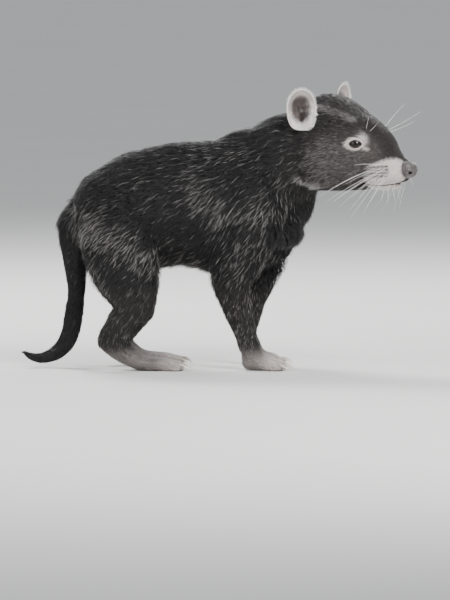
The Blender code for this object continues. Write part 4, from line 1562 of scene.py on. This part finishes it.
# %% Whiskers
WHISKERS = (  # root: ahead, out, height; direction: ahead, out, up; length; sag
    ((121, 19, 276), (-0.42, 0.30, -0.80), 44, 4),
    ((117, 21, 274), (-0.50, 0.34, -0.74), 56, 5),
    ((112, 23, 273), (-0.58, 0.30, -0.72), 62, 6),
    ((107, 25, 272), (-0.66, 0.26, -0.66), 60, 6),
    ((102, 28, 271), (-0.74, 0.22, -0.56), 66, 7),
    ((97, 31, 272), (-0.80, 0.20, -0.46), 60, 6),
    ((122, 20, 281), (-0.30, 0.62, -0.62), 34, 4),
    ((116, 22, 280), (-0.52, 0.46, -0.56), 52, 6),
    ((110, 25, 279), (-0.66, 0.36, -0.48), 66, 8),
    ((104, 28, 278), (-0.78, 0.28, -0.40), 72, 9),
    ((120, 20, 286), (-0.40, 0.68, -0.30), 36, 4),
    ((113, 23, 286), (-0.66, 0.50, -0.24), 54, 7),
    ((106, 27, 285), (-0.84, 0.34, -0.32), 74, 12),
    ((100, 30, 284), (-0.90, 0.28, -0.30), 78, 14),
    ((118, 19, 291), (-0.30, 0.72, 0.10), 30, 4),
    ((111, 22, 292), (-0.56, 0.62, 0.06), 40, 5),
    ((118, 12, 256), (0.10, 0.16, -0.95), 24, 1),
    ((112, 13, 255), (-0.12, 0.20, -0.95), 20, 1),
    ((124, 8, 257), (0.22, 0.12, -0.92), 15, 1),
    ((128, 10, 262), (0.30, 0.28, -0.86), 11, 0),
)
BROW_WHISKERS = {  # over the eyes; those of the left side stand out past the forehead
    "right": (
        ((90, 24, 342), (0.45, 0.50, 0.66), 30, 3),
        ((94, 22, 337), (0.72, 0.50, 0.36), 34, -3),
    ),
    "left": (
        ((90, 24, 342), (0.40, 0.50, 0.72), 54, 7),
        ((94, 22, 337), (0.72, 0.50, 0.34), 56, -5),
        ((96, 21, 333), (0.75, 0.50, 0.34), 40, -3),
    ),
}
WHISKER_STOPS, WHISKER_SIDES = 12, 5
WHISKER_ROOT, WHISKER_TIP = 0.36, 0.09  # radii
WHISKER_SUNK = 1.5


def make_whiskers(side, sign):
    """The whiskers of one side of the face."""
    points, faces = [], []
    share = np.linspace(0, 1, WHISKER_STOPS)[:, None]
    radii = np.repeat(WHISKER_ROOT + (WHISKER_TIP - WHISKER_ROOT) * share, 2, 1)
    tops = np.tile(unit(UP + 0.3 * AHEAD), (WHISKER_STOPS, 1))
    for (ahead, out, height), (forth, wide, up), length, sag in WHISKERS + BROW_WHISKERS[side]:
        wished = in_head(ahead, out * sign, height)
        root = body.under([wished])[0][0]
        length *= rng.uniform(0.92, 1.08)
        way = unit(forth * AHEAD + wide * sign * LEFT + up * UP + rng.normal(0, 0.05, 3))
        path = root + way * (share * length - WHISKER_SUNK) * MM - UP * sag * MM * share**2
        spots, sides = tube(path, radii, tops, WHISKER_SIDES)
        faces += [[v + len(points) for v in face] for face in sides]
        points += list(spots)
    piece = mesh_piece("whiskers_" + side, points, faces)
    return piece


whiskers = [make_whiskers(side, sign) for side, sign in SIDES]
print("whiskers on each side", [len(WHISKERS + BROW_WHISKERS[side]) for side, sign in SIDES])

# %% [markdown]
# ## Fur of the ears
#
# The back of each ear has short dark fur, its rim a fringe of very fine pale hairs, and
# longer pale hairs cross the hollow from the front edge. They could be drawn one by one
# like the whiskers, but there are thousands. So they grow on the ear the same way the
# coat grows on the skin, only with their own lie and their own sizes.

# %% Grow the fur of the ears
BACK_TUFTS, RIM_TUFTS = 3000, 5200


def read_mark(mesh, name):
    """The values of one mask at every point of a mesh."""
    values = np.empty(len(mesh.vertices))
    mesh.attributes[name].data.foreach_get("value", values)
    return values


def grow_ear_fur(piece, side, sign):
    """Dark short fur on one ear's back, and pale hairs round its rim and hollow."""
    _, rise, _, across = ear_axes(side, sign)
    backs = read_mark(piece.data, "back") > 0.5

    def lie_back(points, normals):
        x = on_ear(points, side, sign)[0]
        return unit(flatten_onto(rise + across * (x / 30)[:, None], normals))

    def lie_front(points, normals):
        x, z, _, reach = on_ear(points, side, sign)
        outward = across * x[:, None] + rise * (z - SEAT[1])[:, None]
        crossing = ease(x, 0, -12) * ease(z, 50, 40) * ease(z, 12, 22) * ease(reach, 1.0, 0.9)
        crossing = crossing[:, None]
        flow = unit(outward) * (1 - crossing) + (across + rise * 0.25) * crossing * 1.5
        return unit(flatten_onto(flow, normals))

    # A style gives length, width, height, pale, brown, silver and how far it stands out.
    def style_back(roots, normals):
        none, reach = np.zeros(len(roots)), on_ear(roots, side, sign)[3]
        pale = ease(reach, 0.80, 1.0) * 0.8
        return 6.5 + none, 0.7 + none, 1.0 + none, pale, 0.3 + none, none + 0.1, none

    def style_front(roots, normals):
        x, z, _, reach = on_ear(roots, side, sign)
        none = np.zeros(len(roots))
        crossing = ease(x, -2, -9) * ease(z, 52, 44) * ease(reach, 0.95, 0.8)
        length = 3.4 + 4.5 * crossing - 1.5 * ease(reach, 0.93, 1.05)
        return length, 0.45 - 0.1 * crossing, 0.35 + 1.0 * crossing, 1.0 + none, none, none, none

    pieces = []
    for label, keep, lie, style, number in (
        ("back", backs, lie_back, style_back, BACK_TUFTS),
        ("rim", ~backs, lie_front, style_front, RIM_TUFTS),
    ):
        ground = Ground(piece, lie, keep)
        wanted = keep[ground.verts].all(1).astype(float)
        if label == "rim":
            x, z, _, reach = on_ear(ground.middles, side, sign)
            edge = ease(reach, 0.56, 0.78) * (0.5 + 0.5 * ease(reach, 0.7, 0.9))
            crossing = ease(x, -5, -11) * ease(z, 48, 42) * ease(z, 10, 18) * 0.25
            wanted *= np.maximum(edge, crossing)
        name, count = "ear_" + label + "_fur_" + side, int(number * coat_share)
        pieces.append(grow(name, ground, wanted, count, False, style))
    return pieces


ear_fur = [fur for i, piece in enumerate(ears) for fur in grow_ear_fur(piece, *SIDES[i])]

# %% [markdown]
# ## Effects that several materials share
#
# Three effects turn up again and again, so each is a node group, made once. Copied
# nodes would do the same, but a change would have to be made in every copy. The first
# mixes the colours of the coat from its masks. The second is the grain of bare skin:
# fine pebbles with creases between them. The third is a slow cloud of lighter and
# darker places, because nothing on an animal is one flat colour.

# %% Node helpers
COLOUR, FLOAT, VECTOR = "NodeSocketColor", "NodeSocketFloat", "NodeSocketVector"


def new_group(name, inputs, outputs):
    """A shader node group with named sockets, and its two end nodes."""
    group = bpy.data.node_groups.new(name, "ShaderNodeTree")
    for label, kind, value in inputs:
        socket = group.interface.new_socket(label, in_out="INPUT", socket_type=kind)
        if value is not None:
            socket.default_value = value
    for label, kind in outputs:
        group.interface.new_socket(label, in_out="OUTPUT", socket_type=kind)
    return group, group.nodes.new("NodeGroupInput"), group.nodes.new("NodeGroupOutput")


def plug(tree, socket, value):
    """Links a socket to another, or sets it to a plain value."""
    if isinstance(value, bpy.types.NodeSocket):
        tree.links.new(value, socket)
    else:
        socket.default_value = value


def mix_colour(tree, factor, low, high, blend="MIX"):
    """A colour mix; its factor and colours may be sockets or plain values."""
    node = tree.nodes.new("ShaderNodeMix")
    node.data_type = "RGBA"
    node.blend_type = blend
    for number, value in ((0, factor), (6, low), (7, high)):
        plug(tree, node.inputs[number], value)
    return node.outputs[2]


def sums(tree, operation, *values):
    """A math node."""
    node = tree.nodes.new("ShaderNodeMath")
    node.operation = operation
    for number, value in enumerate(values):
        plug(tree, node.inputs[number], value)
    return node.outputs[0]


def spread_out(tree, value, low, high, new_low, new_high):
    """A map range node, clamped."""
    node = tree.nodes.new("ShaderNodeMapRange")
    for number, item in enumerate((value, low, high, new_low, new_high)):
        plug(tree, node.inputs[number], item)
    return node.outputs[0]


def between(tree, value, low, high):
    """0 to 1 as a value goes from low to high."""
    return spread_out(tree, value, low, high, 0.0, 1.0)


def noise_value(tree, vector, scale, detail=3.0, rough=0.5):
    """A noise texture's value."""
    node = tree.nodes.new("ShaderNodeTexNoise")
    node.inputs["Detail"].default_value = detail
    node.inputs["Roughness"].default_value = rough
    plug(tree, node.inputs["Scale"], scale)
    tree.links.new(vector, node.inputs["Vector"])
    return node.outputs["Fac"]


def attribute(tree, name):
    """A node that reads one of the masks stored on the mesh."""
    node = tree.nodes.new("ShaderNodeAttribute")
    node.attribute_name = name
    return node


def use_group(tree, group, **values):
    """A group placed in a material, its inputs set by name."""
    node = tree.nodes.new("ShaderNodeGroup")
    node.node_tree = group
    for label, value in values.items():
        plug(tree, node.inputs[label.replace("_", " ")], value)
    return node.outputs


def object_place(tree):
    """Where a point lies on its own piece, for textures that stay with the piece."""
    return tree.nodes.new("ShaderNodeTexCoord").outputs["Object"]


def new_material(name, roughness, **settings):
    """A material with its Principled shader, constants set on the shader's sockets."""
    material = bpy.data.materials.new(name)
    material.use_nodes = True
    shader = material.node_tree.nodes["Principled BSDF"]
    shader.inputs["Roughness"].default_value = roughness
    for label, value in settings.items():
        shader.inputs[label.replace("_", " ")].default_value = value
    return material, material.node_tree, shader


def bump(tree, shader, height, strength, distance):
    """Turns a height into the shader's normal."""
    node = tree.nodes.new("ShaderNodeBump")
    node.inputs["Strength"].default_value = strength
    node.inputs["Distance"].default_value = distance
    tree.links.new(height, node.inputs["Height"])
    tree.links.new(node.outputs["Normal"], shader.inputs["Normal"])


# %% Coat colours as a group
coat_group, inlet, outlet = new_group(
    "coat_markings",
    (
        ("Pale", FLOAT, 0.0),
        ("Brown", FLOAT, 0.0),
        ("Silver", FLOAT, 0.0),
        ("Luck", FLOAT, 0.5),
        ("Black Fur", COLOUR, (0.0068, 0.0062, 0.0060, 1)),
        ("Brown Fur", COLOUR, (0.070, 0.058, 0.053, 1)),
        ("Pale Fur", COLOUR, (0.90, 0.865, 0.835, 1)),
        ("Silver Fur", COLOUR, (0.42, 0.395, 0.38, 1)),
    ),
    (("Colour", COLOUR),),
)
put_in = inlet.outputs
dark = mix_colour(coat_group, put_in["Brown"], put_in["Black Fur"], put_in["Brown Fur"])
# The silver tips are mostly a painted highlight of the coat's sheen.
tipped = mix_colour(coat_group, put_in["Silver"], dark, put_in["Silver Fur"])
marked = mix_colour(coat_group, put_in["Pale"], tipped, put_in["Pale Fur"])
shade = spread_out(coat_group, put_in["Luck"], 0.0, 1.0, 0.62, 1.25)
varied = mix_colour(coat_group, 1.0, marked, shade, "MULTIPLY")
coat_group.links.new(varied, outlet.inputs["Colour"])

# %% Grain of bare skin as a group
grain_group, inlet, outlet = new_group(
    "skin_grain",
    (("Vector", VECTOR, None), ("Scale", FLOAT, 900.0), ("Crease", FLOAT, 0.5)),
    (("Height", FLOAT), ("Pebble", FLOAT)),
)
pebbles = grain_group.nodes.new("ShaderNodeTexVoronoi")
pebbles.feature = "DISTANCE_TO_EDGE"
grain_group.links.new(inlet.outputs["Vector"], pebbles.inputs["Vector"])
grain_group.links.new(inlet.outputs["Scale"], pebbles.inputs["Scale"])
pebble = between(grain_group, pebbles.outputs["Distance"], 0.0, 0.25)
wide_scale = sums(grain_group, "MULTIPLY", inlet.outputs["Scale"], 0.35)
wide = noise_value(grain_group, inlet.outputs["Vector"], wide_scale)
creased = sums(grain_group, "MULTIPLY", pebble, inlet.outputs["Crease"])
height = sums(grain_group, "ADD", creased, wide)
grain_group.links.new(height, outlet.inputs["Height"])
grain_group.links.new(pebble, outlet.inputs["Pebble"])

# %% Slow clouds as a group
cloud_group, inlet, outlet = new_group(
    "slow_clouds",
    (
        ("Vector", VECTOR, None),
        ("Scale", FLOAT, 25.0),
        ("Colour", COLOUR, (0.5, 0.5, 0.5, 1)),
        ("Darkest", FLOAT, 0.75),
        ("Lightest", FLOAT, 1.2),
    ),
    (("Colour", COLOUR),),
)
cloud = noise_value(cloud_group, inlet.outputs["Vector"], inlet.outputs["Scale"], 4.0, 0.55)
ends = inlet.outputs["Darkest"], inlet.outputs["Lightest"]
level = spread_out(cloud_group, cloud, 0.3, 0.7, *ends)
clouded = mix_colour(cloud_group, 1.0, inlet.outputs["Colour"], level, "MULTIPLY")
cloud_group.links.new(clouded, outlet.inputs["Colour"])
print("node groups", [g.name for g in (coat_group, grain_group, cloud_group)])

# %% Use the groups


def clouded_colour(tree, shader, place, scale, colour, **ends):
    """Gives the shader a colour that the slow clouds make lighter and darker."""
    clouds = use_group(tree, cloud_group, Vector=place, Scale=scale, Colour=colour, **ends)
    tree.links.new(clouds["Colour"], shader.inputs["Base Color"])


def grained_skin(tree, shader, place, scale, crease, strength, distance):
    """Gives the shader the grain of bare skin, and returns the group's outputs."""
    grain = use_group(tree, grain_group, Vector=place, Scale=scale, Crease=crease)
    bump(tree, shader, grain["Height"], strength, distance)
    return grain


def finish_pieces(pieces, material):
    """Puts a material on pieces."""
    for piece in pieces:
        piece.data.materials.append(material)
    print(material.name, "on", [piece.name for piece in pieces])


# %% [markdown]
# ## Fur and hide
#
# The colour of a hair is darker at its root, a painted shade for where its neighbours
# shade it, and only the outer part of a guard hair is pale. It shines along its side,
# so the roughness is middling and a weak sheen softens the edge of the body. Blender
# has a shader made for hair, but these tufts are solid, so the plain one suits them.
# The hide under them uses the same colours, a little darker, with a fine bump like the
# nap of very short hair, so a thin place in the coat doesn't show.

# %% Fur material
fur, tree, shader = new_material("fur", 0.46, Specular_IOR_Level=0.42, Sheen_Weight=0.05)
shader.inputs["Sheen Roughness"].default_value = 0.4
marks = attribute(tree, "marks")
masks = tree.nodes.new("ShaderNodeSeparateColor")
tree.links.new(marks.outputs["Color"], masks.inputs[0])
along = attribute(tree, "along").outputs["Fac"]
tip = between(tree, along, 0.15, 0.75)
# Painted shade: each tuft is darker towards its root.
lighter = sums(tree, "MULTIPLY", along, 0.25)
luck = sums(tree, "MULTIPLY_ADD", marks.outputs["Alpha"], 0.8, lighter)
coloured = use_group(
    tree, coat_group,
    Pale=masks.outputs[0], Brown=masks.outputs[1],
    Silver=sums(tree, "MULTIPLY", masks.outputs[2], tip), Luck=luck,
)["Colour"]  # fmt: skip
clouded_colour(tree, shader, object_place(tree), 22.0, coloured, Darkest=0.72, Lightest=1.3)
finish_pieces(coat + ear_fur, fur)

# %% Hide material
pale, brown, silver = markings_and_highlight(body.points)
colour_marks(skin.data, np.stack([pale, brown, silver, 0 * pale + 0.4], 1))
off, there = off_mouth(body.points)
mark(skin.data, "lip_line", bell(off, 1.2) * there)
soles = ease(body.points[:, 2] / MM, 4, 1.5) * ease(body.normals[:, 2], -0.2, -0.7)
mark(skin.data, "sole", soles)
hide, tree, shader = new_material("hide", 0.62, Specular_IOR_Level=0.3)
masks = tree.nodes.new("ShaderNodeSeparateColor")
tree.links.new(attribute(tree, "marks").outputs["Color"], masks.inputs[0])
# A faint painted highlight from the silver mask on the hide.
silvered = sums(tree, "MULTIPLY", masks.outputs[2], 0.08)
coloured = use_group(
    tree, coat_group, Pale=masks.outputs[0], Brown=masks.outputs[1], Silver=silvered, Luck=0.45,
    Pale_Fur=(0.60, 0.50, 0.46, 1),
)["Colour"]  # fmt: skip
place = object_place(tree)
clouds = use_group(tree, cloud_group, Vector=place, Scale=60.0, Colour=coloured)["Colour"]
lip, sole = (attribute(tree, name).outputs["Fac"] for name in ("lip_line", "sole"))
lipped = mix_colour(tree, lip, clouds, (0.03, 0.02, 0.018, 1))
soled = mix_colour(tree, sole, lipped, (0.20, 0.13, 0.115, 1))
tree.links.new(soled, shader.inputs["Base Color"])
grained_skin(tree, shader, place, 1300.0, 0.35, 0.35, 0.0004)
finish_pieces([skin], hide)

# %% [markdown]
# ## Eye, lid rim, ear, nose, claw and whisker
#
# The eye is dark brown with fine streaks, and black in its pupil, under a clear coat.
# Clear glass over a painted ball would be truer, but at this size nobody could tell.
# The lid rim is wet dark skin. The ear's bare skin is greyish and paler at the rim,
# with painted shade in its hollow, and light passes into it a little. The nose is
# pebbled and moist, with painted shade in its creases and nostrils. A claw is dark at
# its root and clears towards its point.

# %% Eye material
glass, tree, shader = new_material("eye_glass", 0.3, Coat_Weight=0.6, Coat_Roughness=0.03)
shader.inputs["Specular IOR Level"].default_value = 0.05
angle = attribute(tree, "from_pupil").outputs["Fac"]
place = object_place(tree)
streaks = between(tree, noise_value(tree, place, 900.0, 5.0, 0.7), 0.35, 0.65)
iris = mix_colour(tree, streaks, (0.008, 0.005, 0.004, 1), (0.022, 0.013, 0.009, 1))
at_white, past_pupil = between(tree, angle, 0.62, 0.80), between(tree, angle, 0.27, 0.34)
ringed = mix_colour(tree, at_white, iris, (0.006, 0.004, 0.0035, 1))
pupil = mix_colour(tree, past_pupil, (0.001, 0.001, 0.001, 1), ringed)
tree.links.new(pupil, shader.inputs["Base Color"])
finish_pieces(eyeballs, glass)

# %% Lid rim material
wet, tree, shader = new_material("wet_rim", 0.3, Coat_Weight=0.5, Coat_Roughness=0.15)
place = object_place(tree)
clouded_colour(tree, shader, place, 300.0, (0.022, 0.015, 0.013, 1))
grained_skin(tree, shader, place, 2500.0, 0.4, 0.3, 0.0002)
finish_pieces(lid_rims, wet)

# %% Ear material
thin = {"Subsurface_Weight": 0.18, "Subsurface_Scale": 0.004}
ear_skin, tree, shader = new_material("ear_skin", 0.5, **thin)
place = object_place(tree)
hollow, back, rim = (attribute(tree, name).outputs["Fac"] for name in ("hollow", "back", "rim"))
veins = between(tree, noise_value(tree, place, 160.0, 4.0, 0.6), 0.42, 0.52)
flesh = mix_colour(tree, veins, (0.245, 0.200, 0.190, 1), (0.35, 0.305, 0.290, 1))
rimmed = mix_colour(tree, rim, flesh, (0.80, 0.735, 0.70, 1))
# Painted shade: the hollow darkens towards its middle.
hollow_shade = sums(tree, "MULTIPLY", hollow, 0.95)
shaded_hollow = mix_colour(tree, hollow_shade, rimmed, (0.045, 0.036, 0.034, 1))
backed = mix_colour(tree, back, shaded_hollow, (0.035, 0.028, 0.026, 1))
clouded_colour(tree, shader, place, 80.0, backed, Darkest=0.85, Lightest=1.12)
grained_skin(tree, shader, place, 800.0, 0.25, 0.3, 0.0004)
finish_pieces(ears, ear_skin)

# %% Nose material
leather, tree, shader = new_material("nose_leather", 0.42, Coat_Weight=0.15, Coat_Roughness=0.3)
place = object_place(tree)
grain = grained_skin(tree, shader, place, 620.0, 1.0, 0.35, 0.0004)
# Painted shade: the creases between the pebbles are darker.
crease_shaded_tone = mix_colour(tree, grain["Pebble"], (0.060, 0.051, 0.049, 1), (0.110, 0.096, 0.093, 1))
# Painted shade: each nostril darkens with its depth.
pit = between(tree, attribute(tree, "pit").outputs["Fac"], 0.12, 0.4)
nostril_shaded = mix_colour(tree, pit, crease_shaded_tone, (0.006, 0.004, 0.004, 1))
clouded_colour(tree, shader, place, 120.0, nostril_shaded)
finish_pieces([nose_pad], leather)

# %% Claw and whisker materials
horn, tree, shader = new_material("claw_horn", 0.32, Specular_IOR_Level=0.5)
place = object_place(tree)
clearing = between(tree, attribute(tree, "along").outputs["Fac"], 0.05, 0.75)
base = mix_colour(tree, clearing, (0.26, 0.21, 0.17, 1), (0.78, 0.72, 0.64, 1))
clouded_colour(tree, shader, place, 500.0, base, Darkest=0.8)
bump(tree, shader, noise_value(tree, place, 1500.0, 3.0, 0.6), 0.25, 0.0002)
finish_pieces(claws, horn)

bristle, tree, shader = new_material("whisker_bristle", 0.4)
white = (0.86, 0.835, 0.81, 1)
clouded_colour(tree, shader, object_place(tree), 40.0, white, Darkest=0.8, Lightest=1.1)
finish_pieces(whiskers, bristle)

# %% [markdown]
# ## Floor, light and camera
#
# The floor is a wide plain sheet in a pale grey. A black coat swallows light, so there
# are four large soft lamps and a pale sky. The key lamp stands over the viewer's right
# shoulder, and the fill to the left keeps the flank from going flat. A lamp behind the
# animal draws the silver edge on the coat, and the last one lights its far side. The
# camera stands far off with a long lens, because the picture is drawn with almost no
# perspective.

# %% Floor
FLOOR_REACH = 70.0
corners = [(x * FLOOR_REACH, y * FLOOR_REACH, 0) for x, y in ((-1, -1), (1, -1), (1, 1), (-1, 1))]
floor = mesh_piece("floor", corners, [(0, 1, 2, 3)])
floor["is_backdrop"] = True
paper, tree, shader = new_material("floor_paper", 0.85, Specular_IOR_Level=0.2)
grey = (0.70, 0.695, 0.68, 1)
clouded_colour(tree, shader, object_place(tree), 3.0, grey, Darkest=0.985, Lightest=1.01)
finish_pieces([floor], paper)

# %% Lights
world = bpy.data.worlds.new("studio")
bpy.context.scene.world = world
world.use_nodes = True
sky = world.node_tree.nodes["Background"].inputs
sky["Color"].default_value = (0.90, 0.925, 0.96, 1)
sky["Strength"].default_value = 0.66
MIDDLE = Vector((0, 0, 0.2))


def soft_lamp(name, place, size, power):
    """A square lamp aimed at the middle of the animal."""
    light = bpy.data.lights.new(name, "AREA")
    light.size = size
    light.energy = power
    lamp = bpy.data.objects.new(name, light)
    bpy.context.scene.collection.objects.link(lamp)
    lamp.location = place
    lamp.rotation_euler = (MIDDLE - Vector(place)).to_track_quat("-Z", "Y").to_euler()


LAMPS = (
    ("key", (1.0, -1.7, 1.7), 0.9, 70),
    ("fill", (-1.8, -1.3, 1.1), 1.4, 20),
    ("rim", (-0.9, 1.6, 1.9), 0.9, 85),
    ("far_side", (1.4, 1.8, 1.3), 1.2, 26),
)
for lamp in LAMPS:
    soft_lamp(*lamp)
print("lamps", [lamp[0] for lamp in LAMPS])

# %% Camera
PIXEL = 1.408 * MM  # one picture pixel on the animal
PICTURE_TALL = 600
DISTANCE = 12.0
ELEVATION = math.radians(4)
aim = Vector((9.15 * MM, 0, 95.9 * MM))  # what the middle of the picture shows
camera_data = bpy.data.cameras.new("camera")
camera_data.lens = camera_data.sensor_width * DISTANCE / (PICTURE_TALL * PIXEL)
camera_data.clip_end = 4 * FLOOR_REACH
camera = bpy.data.objects.new("camera", camera_data)
bpy.context.scene.collection.objects.link(camera)
back = Vector((0, -math.cos(ELEVATION), math.sin(ELEVATION)))
camera.location = aim + back * DISTANCE
camera.rotation_euler = (-back).to_track_quat("-Z", "Y").to_euler()
bpy.context.scene.camera = camera
print("lens", round(camera_data.lens, 1), "mm, camera up", round(camera.location.z, 2), "m")

# %% [markdown]
# ## Sizes and the end
#
# The box of the finished animal is printed. The coat may stand a little proud of the
# solids, and no more.

# %% Write the sizes and finish
low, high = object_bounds()
print("visual box", [round(v, 4) for v in low], [round(v, 4) for v in high])
